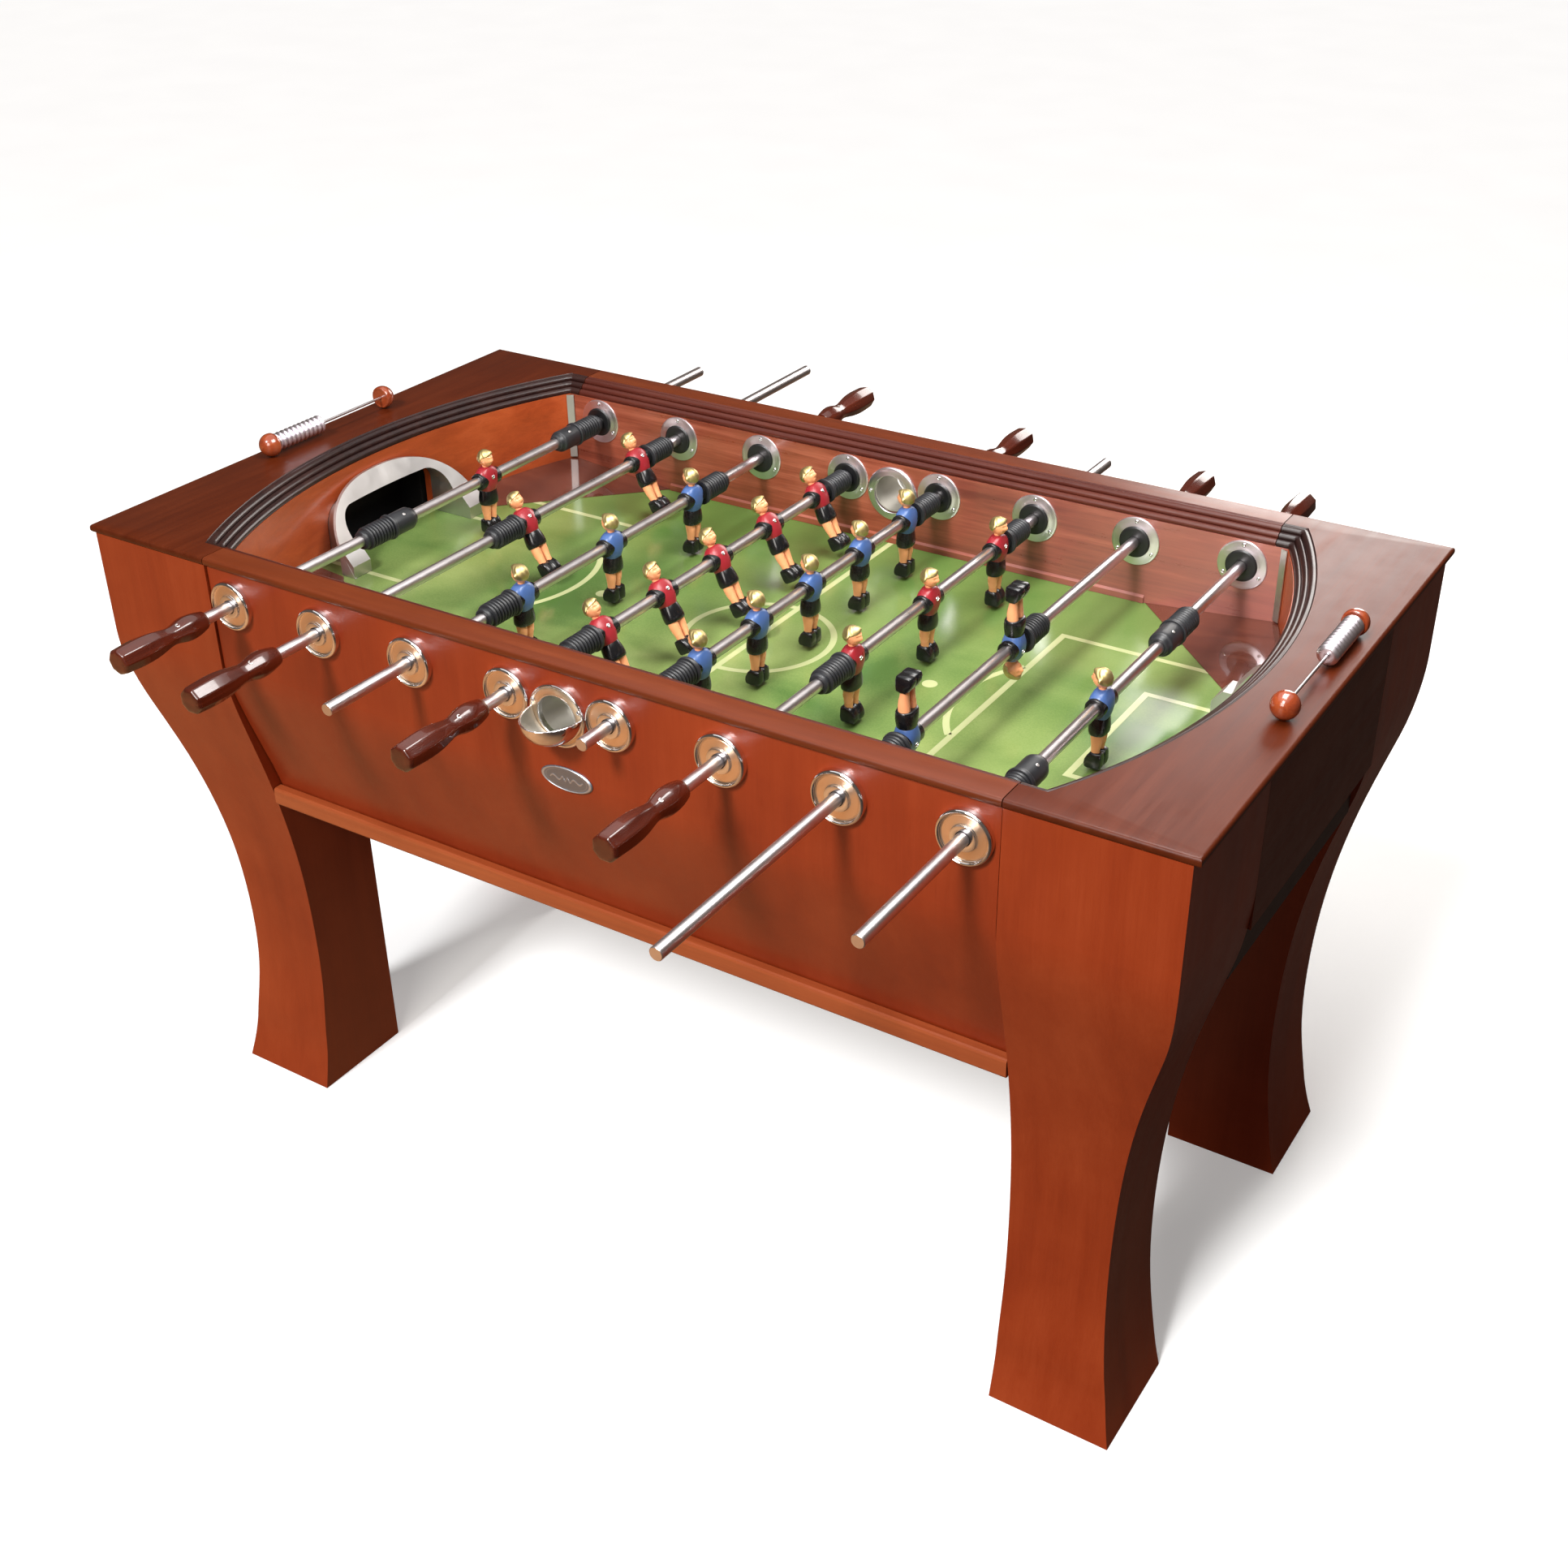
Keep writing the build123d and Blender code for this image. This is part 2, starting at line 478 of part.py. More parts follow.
for i, (side, tip, off, turn, face, places, stops) in enumerate(RODS, 1):
    x = rod_x(i - 1)
    a, b = off - side * tip, off + side * (tip + 102.0)
    rod = cyl_y(x, ROD_Z, ROD_R, a, b)
    rim = [e for e in rod.edges() if abs(e.center().Y - a) < 0.01]
    rod = chamfer(rim, 0.8)
    save(f"rod_{i}", [rod])
    one = FIG if face > 0 else Rot(0, 0, 180) * FIG
    one = Rot(0, turn, 0) * one
    save(f"players_{i}", [Pos(x, off + p, ROD_Z) * one for p in places])
    stack = []
    for s in (-1, 1):
        if len(stops) == 3:
            c = revolve_y(collar(stops[1] - stops[0] - 0.2), 0, stops[0], 0)
            r = revolve_y(bumper(stops[2] - stops[1]), 0, stops[1], 0)
            parts_ = [c, r]
        else:
            parts_ = [revolve_y(bumper(stops[1] - stops[0]), 0, stops[0], 0)]
        for p_ in parts_:
            q = p_ if s > 0 else flip_y(p_)
            stack.append(Pos(x, off, ROD_Z) * q)
    save(f"bumpers_{i}", stack)
    h = revolve_y(handle(), 0, 0, 0)
    h = h if side > 0 else flip_y(h)
    save(f"handle_{i}", [Pos(x, off + side * tip, ROD_Z) * h])
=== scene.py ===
import bpy
import bmesh
import math
import random
from mathutils import Vector, Matrix, noise

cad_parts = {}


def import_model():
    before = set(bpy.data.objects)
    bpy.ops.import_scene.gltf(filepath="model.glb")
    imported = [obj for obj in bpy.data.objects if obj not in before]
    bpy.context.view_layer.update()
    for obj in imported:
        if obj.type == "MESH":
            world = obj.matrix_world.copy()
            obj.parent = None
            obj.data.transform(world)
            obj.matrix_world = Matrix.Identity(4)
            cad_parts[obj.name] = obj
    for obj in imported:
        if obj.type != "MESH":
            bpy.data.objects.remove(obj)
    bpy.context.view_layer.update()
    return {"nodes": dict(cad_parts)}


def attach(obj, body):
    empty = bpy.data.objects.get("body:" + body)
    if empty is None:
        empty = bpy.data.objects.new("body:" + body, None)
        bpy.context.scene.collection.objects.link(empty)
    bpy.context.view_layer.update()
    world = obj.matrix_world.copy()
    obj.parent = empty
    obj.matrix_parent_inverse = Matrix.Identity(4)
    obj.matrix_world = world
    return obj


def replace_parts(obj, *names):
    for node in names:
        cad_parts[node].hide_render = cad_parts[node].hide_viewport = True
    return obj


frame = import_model()
MM = 0.001

# ------------------------------------------------------------------ dimensions (mm)
ROD_R = 7.94
ROD_Z = 845.4
FIELD_Z = 758.0
WALL_Y = 357.0
ARC_R = 776.0
ARC_C = 107.0
TABLE_H = 903.0
SEAM_X = 565.0
RODS = [
    (-1, 548.0, 82.0, 0.0, 1, (0,), (162.0, 206.0, 264.0)),
    (-1, 608.0, 118.0, -30.0, 1, (-132, 132), (152.0, 208.0)),
    (1, 544.0, -15.0, 0.0, -1, (-190, 0, 190), (210.0, 268.0)),
    (-1, 482.0, 19.0, -30.0, 1, (-252, -126, 0, 126, 252), (272.0, 330.0)),
    (1, 482.0, 10.0, 0.0, -1, (-252, -126, 0, 126, 252), (272.0, 330.0)),
    (-1, 544.0, 52.0, 0.0, 1, (-190, 0, 190), (210.0, 268.0)),
    (1, 608.0, -140.0, 180.0, -1, (-132, 132), (152.0, 208.0)),
    (1, 548.0, -85.0, 0.0, -1, (0,), (162.0, 206.0, 264.0)),
]
SIDE_CURVE = [(750, 418), (700, 412.3), (645, 399), (563, 377), (469, 357), (388, 345.3),
              (310, 340), (231, 338.9), (155, 343.2), (95, 350.3), (0, 366)]
END_CURVE = [(750, 767), (700, 764.2), (654, 757), (610, 745.5), (532, 725), (438, 707.5),
             (327, 697.2), (222, 696), (127, 703.2), (35, 718), (0, 726)]


def rod_x(i):
    return (i - 3.5) * 150.0


# ------------------------------------------------------------------ material helpers
class Mat:
    def __init__(self, name):
        self.m = bpy.data.materials.new(name)
        self.m.use_nodes = True
        self.nt = self.m.node_tree
        self.nt.nodes.clear()
        self.out = self.nt.nodes.new("ShaderNodeOutputMaterial")
        self.p = self.nt.nodes.new("ShaderNodeBsdfPrincipled")
        self.link(self.p.outputs[0], self.out.inputs[0])
        self._coord = None

    def link(self, a, b):
        self.nt.links.new(a, b)

    def node(self, kind, **kw):
        n = self.nt.nodes.new(kind)
        for k, v in kw.items():
            if k in ("noise_dimensions", "operation", "blend_type", "data_type", "wave_type", "bands_direction",
                     "wave_profile", "feature", "distance", "interpolation_type", "clamp", "vector_type", "normalize",
                     "rings_direction", "voronoi_dimensions", "use_clamp"):
                setattr(n, k, v)
            else:
                n.inputs[k].default_value = v
        return n

    def coord(self):
        if self._coord is None:
            self._coord = self.nt.nodes.new("ShaderNodeTexCoord").outputs["Object"]
        return self._coord

    def mapped(self, scale, loc=(0, 0, 0), rot=(0, 0, 0), src=None):
        n = self.nt.nodes.new("ShaderNodeMapping")
        n.inputs["Scale"].default_value = scale
        n.inputs["Location"].default_value = loc
        n.inputs["Rotation"].default_value = rot
        self.link(src or self.coord(), n.inputs["Vector"])
        return n.outputs[0]

    def noise(self, vec, scale=1.0, detail=4.0, rough=0.5, distort=0.0):
        n = self.nt.nodes.new("ShaderNodeTexNoise")
        n.inputs["Scale"].default_value = scale
        n.inputs["Detail"].default_value = detail
        n.inputs["Roughness"].default_value = rough
        n.inputs["Distortion"].default_value = distort
        self.link(vec, n.inputs["Vector"])
        return n.outputs["Fac"]

    def ramp(self, fac, stops, interp="LINEAR"):
        n = self.nt.nodes.new("ShaderNodeValToRGB")
        cr = n.color_ramp
        cr.interpolation = interp
        while len(cr.elements) < len(stops):
            cr.elements.new(0.5)
        for e, (pos, col) in zip(cr.elements, stops):
            e.position = pos
            e.color = (*col, 1.0) if len(col) == 3 else col
        self.link(fac, n.inputs[0])
        return n.outputs["Color"]

    def mix(self, fac, a, b, mode="MIX"):
        n = self.nt.nodes.new("ShaderNodeMix")
        n.data_type = "RGBA"
        n.blend_type = mode
        for sock, v in ((n.inputs[0], fac), (n.inputs[6], a), (n.inputs[7], b)):
            if isinstance(v, (int, float)):
                sock.default_value = v
            elif isinstance(v, tuple):
                sock.default_value = (*v, 1.0) if len(v) == 3 else v
            else:
                self.link(v, sock)
        return n.outputs[2]

    def math(self, op, a, b=None, c=None, clamp=False):
        n = self.nt.nodes.new("ShaderNodeMath")
        n.operation = op
        n.use_clamp = clamp
        for k, v in enumerate((a, b, c)):
            if v is None:
                continue
            if isinstance(v, (int, float)):
                n.inputs[k].default_value = v
            else:
                self.link(v, n.inputs[k])
        return n.outputs[0]

    def rng(self, v, a, b, c, d):
        n = self.nt.nodes.new("ShaderNodeMapRange")
        n.clamp = True
        for k, x in enumerate((a, b, c, d), 1):
            n.inputs[k].default_value = x
        self.link(v, n.inputs[0])
        return n.outputs[0]

    def bump(self, height, strength=0.2, dist=0.001, normal=None):
        n = self.nt.nodes.new("ShaderNodeBump")
        n.inputs["Strength"].default_value = strength
        n.inputs["Distance"].default_value = dist
        self.link(height, n.inputs["Height"])
        if normal is not None:
            self.link(normal, n.inputs["Normal"])
        return n.outputs[0]

    def set(self, **kw):
        names = {"color": "Base Color", "rough": "Roughness", "metal": "Metallic", "normal": "Normal",
                 "coat": "Coat Weight", "coat_rough": "Coat Roughness", "ior": "IOR", "spec": "Specular IOR Level",
                 "coat_normal": "Coat Normal", "coat_ior": "Coat IOR", "sheen": "Sheen Weight",
                 "sss": "Subsurface Weight", "sss_scale": "Subsurface Scale", "aniso": "Anisotropic"}
        for k, v in kw.items():
            s = self.p.inputs[names[k]]
            if isinstance(v, (int, float)):
                s.default_value = v
            elif isinstance(v, tuple):
                s.default_value = (*v, 1.0) if len(v) == 3 else v
            else:
                self.link(v, s)
        return self.m


def wood(name, dark, mid, light, axis="X", rough=0.34, coat=0.55, coat_rough=0.12, seed=0.0, pores=0.35, contrast=1.0,
         streaky=0.34, spec=0.5, painted_sheen=None):
    """Stained cherry veneer under lacquer, with its grain along one axis."""
    w = Mat(name)
    ax = "XYZ".index(axis)

    def sc(along, across):
        s = [across, across, across]
        s[ax] = along
        return tuple(s)
    off = (seed * 3.1, seed * 1.7, seed * 2.3)
    broad = w.noise(w.mapped(sc(1.1, 9.0), off), 1.0, 3.0, 0.55, 0.9)
    streak = w.noise(w.mapped(sc(3.0, 70.0), off), 1.0, 5.0, 0.62, 0.7)
    fine = w.noise(w.mapped(sc(14.0, 420.0), off), 1.0, 3.0, 0.6, 0.2)
    blotch = w.noise(w.mapped((5.5, 5.5, 5.5), off), 1.0, 4.0, 0.6, 0.4)
    mixv = w.math("ADD", w.math("MULTIPLY", broad, 0.42), w.math("MULTIPLY", streak, streaky))
    mixv = w.math("ADD", mixv, w.math("MULTIPLY", fine, 0.10))
    mixv = w.math("ADD", mixv, w.math("MULTIPLY", blotch, 0.48 - streaky))
    lo, hi = 0.5 - 0.16 / contrast, 0.5 + 0.16 / contrast
    col = w.ramp(mixv, [(lo, dark), (0.5, mid), (hi, light)])
    # short dark pores along the grain
    por = w.noise(w.mapped(sc(38.0, 1500.0), off), 1.0, 2.0, 0.5, 0.0)
    pm = w.rng(por, 0.60, 0.70, 0.0, 1.0)
    col = w.mix(w.math("MULTIPLY", pm, pores), col, tuple(c * 0.45 for c in dark))
    if painted_sheen:
        # painted sheen: the colour is lightened and turned pinker towards +X, standing in for the brighter light and
        # haze on that end
        sx = w.nt.nodes.new("ShaderNodeSeparateXYZ")
        w.link(w.coord(), sx.inputs[0])
        col = w.mix(w.math("MULTIPLY", w.rng(sx.outputs[0], painted_sheen[0], painted_sheen[1], 0.0, 1.0), painted_sheen[2]), col, painted_sheen[3])
    h = w.math("ADD", w.math("MULTIPLY", fine, 0.5), w.math("MULTIPLY", pm, -0.6))
    haze = w.noise(w.mapped((23.0, 23.0, 23.0), off), 1.0, 4.0, 0.65)
    r = w.rng(w.math("ADD", w.math("MULTIPLY", streak, 0.5), w.math("MULTIPLY", haze, 0.5)), 0.3, 0.7,
              rough - 0.06, rough + 0.08)
    ripple = w.noise(w.mapped(sc(9.0, 30.0), off), 1.0, 2.0, 0.5)
    cn = w.bump(ripple, 0.10, 0.0015)
    return w.set(color=col, rough=r, normal=w.bump(h, 0.16, 0.0004), coat=coat, coat_rough=coat_rough,
                 coat_normal=cn, ior=1.5, spec=spec)


def metal(name, color, rough=0.12, smudge=0.08, brushed=None, scratches=0.3):
    w = Mat(name)
    n = w.noise(w.mapped((60, 60, 60)), 1.0, 5.0, 0.6, 0.3)
    big = w.noise(w.mapped((18, 18, 18)), 1.0, 3.0, 0.5)
    rr = w.rng(w.math("ADD", w.math("MULTIPLY", n, 0.6), w.math("MULTIPLY", big, 0.4)), 0.32, 0.68, rough,
               rough + smudge)
    col = w.ramp(big, [(0.3, tuple(c * 0.93 for c in color)), (0.7, color)])
    if scratches <= 0:
        return w.set(color=col, metal=1.0, rough=rr)
    if brushed:
        s = [2600.0] * 3
        s["XYZ".index(brushed)] = 30.0
        h = w.noise(w.mapped(tuple(s)), 1.0, 2.0, 0.5)
    else:
        h = w.noise(w.mapped((900, 900, 900)), 1.0, 2.0, 0.5)
    return w.set(color=col, metal=1.0, rough=rr, normal=w.bump(h, 0.05 * scratches / 0.3, 0.0002))


def plastic(name, color, rough=0.3, var=0.12, bump=0.05, scale=260.0, coat=0.0, sss=0.0):
    w = Mat(name)
    n = w.noise(w.mapped((scale, scale, scale)), 1.0, 4.0, 0.6)
    b = w.noise(w.mapped((scale * 0.16,) * 3), 1.0, 3.0, 0.55)
    col = w.ramp(b, [(0.3, tuple(c * (1 - var) for c in color)), (0.7, tuple(min(1, c * (1 + var * 0.6)) for c in color))])
    r = w.rng(b, 0.3, 0.7, rough - 0.05, rough + 0.07)
    kw = {}
    if sss:
        kw = {"sss": sss, "sss_scale": 0.002}
    return w.set(color=col, rough=r, normal=w.bump(n, bump, 0.0004), coat=coat, coat_rough=0.1, **kw)


# ------------------------------------------------------------------ mesh helpers
def obj(name, verts, faces, mat=None, smooth=True, body="cabinet", replaces=(), angle=40.0):
    me = bpy.data.meshes.new(name)
    me.from_pydata([tuple(c * MM for c in v) for v in verts], [], faces)
    me.update()
    bm = bmesh.new()
    bm.from_mesh(me)
    bmesh.ops.recalc_face_normals(bm, faces=bm.faces)
    bm.to_mesh(me)
    bm.free()
    return place(name, me, mat, smooth, body, replaces, angle)


def place(name, me, mat, smooth=True, body="cabinet", replaces=(), angle=40.0, matrix=None):
    o = bpy.data.objects.new(name, me)
    bpy.context.scene.collection.objects.link(o)
    if mat is not None and not me.materials:
        for m in (mat if isinstance(mat, (list, tuple)) else [mat]):
            me.materials.append(m)
    if smooth:
        me.shade_smooth()
        if angle < 180:
            me.set_sharp_from_angle(angle=math.radians(angle))
    if matrix is not None:
        o.matrix_world = matrix
    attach(o, body)
    for r in replaces:
        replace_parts(o, r)
    return o


def bevel(o, width, segs=2, angle=30.0):
    b = o.modifiers.new("edge", "BEVEL")
    b.width = width * MM
    b.segments = segs
    b.limit_method = "ANGLE"
    b.angle_limit = math.radians(angle)
    b.harden_normals = True
    return o


def lathe_data(profile, n=48, closed=True, phase=0.0, radii=None):
    """Verts and faces of (r, y) points turned about Y. A closed profile makes a ring-shaped solid."""
    verts, faces = [], []
    rings = []
    for r, y in profile:
        if r < 1e-6:
            rings.append([len(verts)])
            verts.append((0.0, y, 0.0))
        else:
            ids = []
            for k in range(n):
                a = 2 * math.pi * k / n + phase
                ids.append(len(verts))
                verts.append((r * math.cos(a), y, r * math.sin(a)))
            rings.append(ids)
    m = len(rings)
    for i in range(m if closed else m - 1):
        a, b = rings[i], rings[(i + 1) % m]
        if len(a) == 1 and len(b) == 1:
            continue
        for k in range(n):
            k2 = (k + 1) % n
            if len(a) == 1:
                faces.append((a[0], b[k], b[k2]))
            elif len(b) == 1:
                faces.append((a[k2], a[k], b[0]))
            else:
                faces.append((a[k], b[k], b[k2], a[k2]))
    return verts, faces


def shift(verts, d=(0, 0, 0), flip=False, rot=None):
    out = []
    for v in verts:
        x, y, z = v
        if flip:
            y = -y
        if rot:
            c, s = math.cos(rot), math.sin(rot)
            x, z = x * c + z * s, -x * s + z * c
        out.append((x + d[0], y + d[1], z + d[2]))
    return out


def join(parts):
    V, F = [], []
    for v, f in parts:
        n = len(V)
        V += list(v)
        F += [tuple(i + n for i in q) for q in f]
    return V, F


def sweep(section, path_fn, n, caps=True):
    """section: list of 2-D points; path_fn(t, p) -> 3-D point, for t in 0..n."""
    m = len(section)
    V, F = [], []
    for i in range(n + 1):
        for p in section:
            V.append(path_fn(i / n, p))
    for i in range(n):
        for k in range(m):
            k2 = (k + 1) % m
            F.append((i * m + k, i * m + k2, (i + 1) * m + k2, (i + 1) * m + k))
    if caps:
        F.append(tuple(range(m)))
        F.append(tuple(n * m + k for k in reversed(range(m))))
    return V, F


def spline(pts, z):
    """Half width at a height: monotone cubic through the (z, h) points."""
    ps = sorted(pts)
    n = len(ps)
    d = [(ps[i + 1][1] - ps[i][1]) / (ps[i + 1][0] - ps[i][0]) for i in range(n - 1)]
    m = [d[0]] + [(d[i - 1] * (ps[i + 1][0] - ps[i][0]) + d[i] * (ps[i][0] - ps[i - 1][0])) / (ps[i + 1][0] - ps[i - 1][0])
                  for i in range(1, n - 1)] + [0.0]
    m[0] = -0.24
    if z >= ps[-1][0]:
        return ps[-1][1]
    for i in range(n - 1):
        if z <= ps[i + 1][0]:
            h = ps[i + 1][0] - ps[i][0]
            t = (z - ps[i][0]) / h
            return ((2 * t ** 3 - 3 * t ** 2 + 1) * ps[i][1] + (t ** 3 - 2 * t ** 2 + t) * h * m[i]
                    + (-2 * t ** 3 + 3 * t ** 2) * ps[i + 1][1] + (t ** 3 - t ** 2) * h * m[i + 1])
    return ps[-1][1]


# ------------------------------------------------------------------ materials
M = {}
M["apron"] = wood("wood_apron", (0.190, 0.019, 0.004), (0.245, 0.029, 0.006), (0.300, 0.042, 0.010), "Z", seed=1.3, pores=0.08,
                  coat=0.22, coat_rough=0.28, streaky=0.14, spec=0.35)
M["leg"] = wood("wood_leg", (0.190, 0.019, 0.003), (0.260, 0.032, 0.006), (0.320, 0.048, 0.011), "Z", seed=4.1, pores=0.08,
                coat=0.22, coat_rough=0.28, streaky=0.14, spec=0.35)
M["top_x"] = wood("wood_top_long", (0.085, 0.014, 0.003), (0.122, 0.021, 0.004), (0.165, 0.033, 0.008), "X", seed=2.2, pores=0.25,
                  coat=0.08, coat_rough=0.24, spec=0.3)
M["top_y"] = wood("wood_top_cross", (0.048, 0.006, 0.001), (0.073, 0.011, 0.002), (0.105, 0.018, 0.004), "Y", seed=5.7, pores=0.25,
                  coat=0.04, coat_rough=0.28, spec=0.20)
# the side walls carry a painted sheen: lighter and pinker towards +X
M["inner_x"] = wood("wood_inner_long", (0.110, 0.020, 0.010), (0.220, 0.048, 0.024), (0.360, 0.100, 0.056), "X", seed=3.4,
                    contrast=1.6, rough=0.30, coat=0.4, painted_sheen=(0.0, 0.6, 0.42, (0.46, 0.21, 0.19)))
M["inner_y"] = wood("wood_inner_end", (0.220, 0.034, 0.009), (0.350, 0.058, 0.014), (0.460, 0.090, 0.024), "Y", seed=7.9,
                    rough=0.34, coat=0.15, spec=0.35)
M["strip"] = wood("wood_strip", (0.240, 0.045, 0.012), (0.320, 0.066, 0.018), (0.400, 0.095, 0.028), "X", seed=6.9, pores=0.2,
                  coat=0.4, coat_rough=0.2)
# painted shade: the end panels get a much darker copy of the cabinet wood, standing in for the shade on the ends
M["panel"] = wood("wood_panel", (0.070, 0.010, 0.003), (0.100, 0.015, 0.004), (0.135, 0.023, 0.006), "Y", seed=6.3, pores=0.2,
                  coat=0.05, coat_rough=0.25, spec=0.2)
M["bead"] = wood("wood_moulding", (0.009, 0.003, 0.003), (0.018, 0.005, 0.004), (0.034, 0.010, 0.007), "X", seed=8.8,
                 rough=0.32, coat=0.2, spec=0.35)
M["bead_x"] = wood("wood_moulding_long", (0.042, 0.008, 0.005), (0.066, 0.012, 0.007), (0.098, 0.020, 0.010), "X", seed=8.1,
                   rough=0.3, coat=0.2, spec=0.3)
# painted shade: near-black wood standing in for the shadowed band under the end panels
M["dark"] = wood("wood_dark_painted_shade", (0.018, 0.006, 0.005), (0.034, 0.011, 0.008), (0.060, 0.020, 0.013), "Y", seed=9.6,
                 rough=0.5, coat=0.1)
M["ramp"] = wood("wood_ramp", (0.045, 0.012, 0.009), (0.085, 0.024, 0.015), (0.140, 0.042, 0.024), "X", seed=10.2,
                 rough=0.12, coat=1.0, coat_rough=0.03)
M["knob"] = wood("wood_knob", (0.150, 0.020, 0.008), (0.260, 0.042, 0.012), (0.380, 0.080, 0.020), "Y", seed=11.5,
                 rough=0.2, coat=1.0, coat_rough=0.04)
M["grip"] = wood("wood_grip", (0.022, 0.003, 0.001), (0.060, 0.007, 0.002), (0.120, 0.018, 0.006), "Y", seed=12.4,
                 rough=0.22, coat=0.7, coat_rough=0.05)
M["chrome"] = metal("chrome_plate", (0.86, 0.86, 0.88), 0.07, 0.07)
# the slight magenta tint is painted in to cancel the green of the field reflected in these satin parts
M["ring"] = metal("ring_satin", (0.86, 0.80, 0.86), 0.28, 0.06)
# painted reflection: the flat chrome faces are tinted tan, standing in for the warm floor they reflect
M["chrome_flat"] = metal("chrome_face_painted_reflection", (0.88, 0.68, 0.50), 0.30, 0.06, scratches=0)
M["rod"] = metal("steel_rod", (0.76, 0.71, 0.72), 0.27, 0.06, brushed="Y", scratches=0.12)
M["silver"] = metal("cast_silver", (0.63, 0.61, 0.60), 0.34, 0.12)
M["scoop_in"] = metal("cup_inside", (0.52, 0.50, 0.45), 0.50, 0.12)


def badge_material():
    """Pewter, darker and bluer in its recesses."""
    w = Mat("badge_silver")
    sep = w.nt.nodes.new("ShaderNodeSeparateXYZ")
    w.link(w.coord(), sep.inputs[0])
    n = w.noise(w.mapped((300, 300, 300)), 1.0, 3.0, 0.6)
    up = w.rng(w.math("MULTIPLY", sep.outputs[1], -1.0), 0.41690, 0.41735, 0.0, 1.0)
    col = w.mix(up, (0.240, 0.270, 0.320), (0.60, 0.64, 0.70))
    col = w.mix(w.math("MULTIPLY", n, 0.3), col, (0.30, 0.33, 0.38))
    return w.set(color=col, metal=0.9, rough=w.rng(n, 0.3, 0.7, 0.34, 0.48))


M["badge"] = badge_material()
M["rubber"] = plastic("stop_rubber", (0.016, 0.017, 0.020), 0.38, bump=0.12)
M["nylon"] = plastic("bush_nylon", (0.008, 0.008, 0.009), 0.35)
M["black"] = plastic("goal_black", (0.004, 0.004, 0.004), 0.6)
M["skin"] = plastic("figure_skin", (0.84, 0.35, 0.16), 0.28, var=0.06, bump=0.03)
M["hair"] = metal("figure_gold", (0.52, 0.41, 0.18), 0.40, 0.10)
M["red"] = plastic("figure_red_shirt", (0.28, 0.014, 0.022), 0.30, bump=0.04)
M["blue"] = plastic("figure_blue_shirt", (0.055, 0.115, 0.30), 0.32, bump=0.04)
M["figblack"] = plastic("figure_black", (0.006, 0.006, 0.007), 0.22, bump=0.03)
M["ballwhite"] = plastic("ball_white", (0.80, 0.80, 0.76), 0.25, var=0.04, bump=0.06)
M["line"] = plastic("field_line", (0.43, 0.46, 0.23), 0.16, var=0.10, bump=0.01, scale=90)


def field_material():
    """Printed grass: soft mown patches, a fine fleck, painted shade towards the far wall, and a glossy clear layer over
    it.
    """
    w = Mat("field_print")
    sep = w.nt.nodes.new("ShaderNodeSeparateXYZ")
    w.link(w.coord(), sep.inputs[0])
    x, y = sep.outputs[0], sep.outputs[1]
    wob = w.noise(w.mapped((2.6, 2.6, 2.6)), 1.0, 3.0, 0.5)
    big = w.noise(w.mapped((3.4, 4.6, 3.0), (3.1, 1.7, 0)), 1.0, 3.0, 0.55, 0.6)
    band = w.math("SINE", w.math("ADD", w.math("MULTIPLY", x, 15.0), w.math("MULTIPLY", wob, 5.0)))
    patch = w.math("ADD", w.math("MULTIPLY", band, 0.10), w.math("MULTIPLY", big, 0.9))
    fleck = w.noise(w.mapped((420, 420, 420)), 1.0, 3.0, 0.7)
    v = w.math("ADD", patch, w.math("MULTIPLY", w.math("SUBTRACT", fleck, 0.5), 0.20))
    col = w.ramp(v, [(0.26, (0.075, 0.145, 0.035)), (0.48, (0.180, 0.255, 0.075)), (0.72, (0.300, 0.370, 0.130))])
    # painted shade: the grass darkens towards the far wall (+Y), standing in for the shadow of the wall and rods
    far_painted_shade = w.rng(y, -0.04, 0.34, 0.0, 0.75)
    col = w.mix(far_painted_shade, col, (0.070, 0.150, 0.030))
    r = w.rng(big, 0.3, 0.7, 0.14, 0.22)
    orange = w.noise(w.mapped((120, 120, 120)), 1.0, 2.0, 0.5)
    return w.set(color=col, rough=r, coat=0.12, coat_rough=0.2, normal=w.bump(orange, 0.03, 0.0005))


M["field"] = field_material()


def cad(node, mat):
    o = frame["nodes"][node]
    o.data.materials.clear()
    o.data.materials.append(mat)
    return o


# ------------------------------------------------------------------ large boards kept from the CAD model
for n in ("leg_near_left", "leg_near_right", "leg_far_left", "leg_far_right"):
    cad(n, M["leg"])
cad("side_aprons", M["apron"])
cad("side_walls", M["inner_x"])
cad("end_walls", M["inner_y"])
# end panels use the darkened copy of the cabinet wood (painted shade)
cad("end_panels", M["panel"])
# end rails take the near-black painted-shade wood; the cabinet bottom uses the same wood
cad("end_rails", M["dark"])
cad("bottom_trims", M["strip"])
cad("cabinet_bottom", M["dark"])
cad("corner_ramps", M["ramp"])
cad("corner_strips", M["silver"])
cad("goal_boxes", M["black"])
cad("playfield", M["field"])
for i in range(1, 9):
    cad(f"rod_{i}", M["rod"])
cad("score_rods", M["rod"])


# ------------------------------------------------------------------ top boards and mouldings
def bead_points():
    """Section of the triple bead, (distance out from the wall face, z)."""
    pts = []
    z0 = TABLE_H - 22.0
    for k in range(3):
        cx, cz = 5.4 + 7.6 * k, z0 + 2.9 + 6.8 * k
        for j in range(13):
            t = math.radians(4 + 166 * j / 12)
            p, q = -5.0 * math.cos(t), 3.8 * math.sin(t)
            pts.append((cx + 0.745 * p - 0.667 * q, cz + 0.667 * p + 0.745 * q))
    return pts


BEADS = bead_points()
OUT_EDGE = [(4.0, 0.0), (2.4, -0.5), (1.0, -1.6), (0.25, -3.2), (0.0, -4.8), (0.0, -7.6), (0.6, -9.2), (1.8, -10.3),
            (3.6, -10.7)]


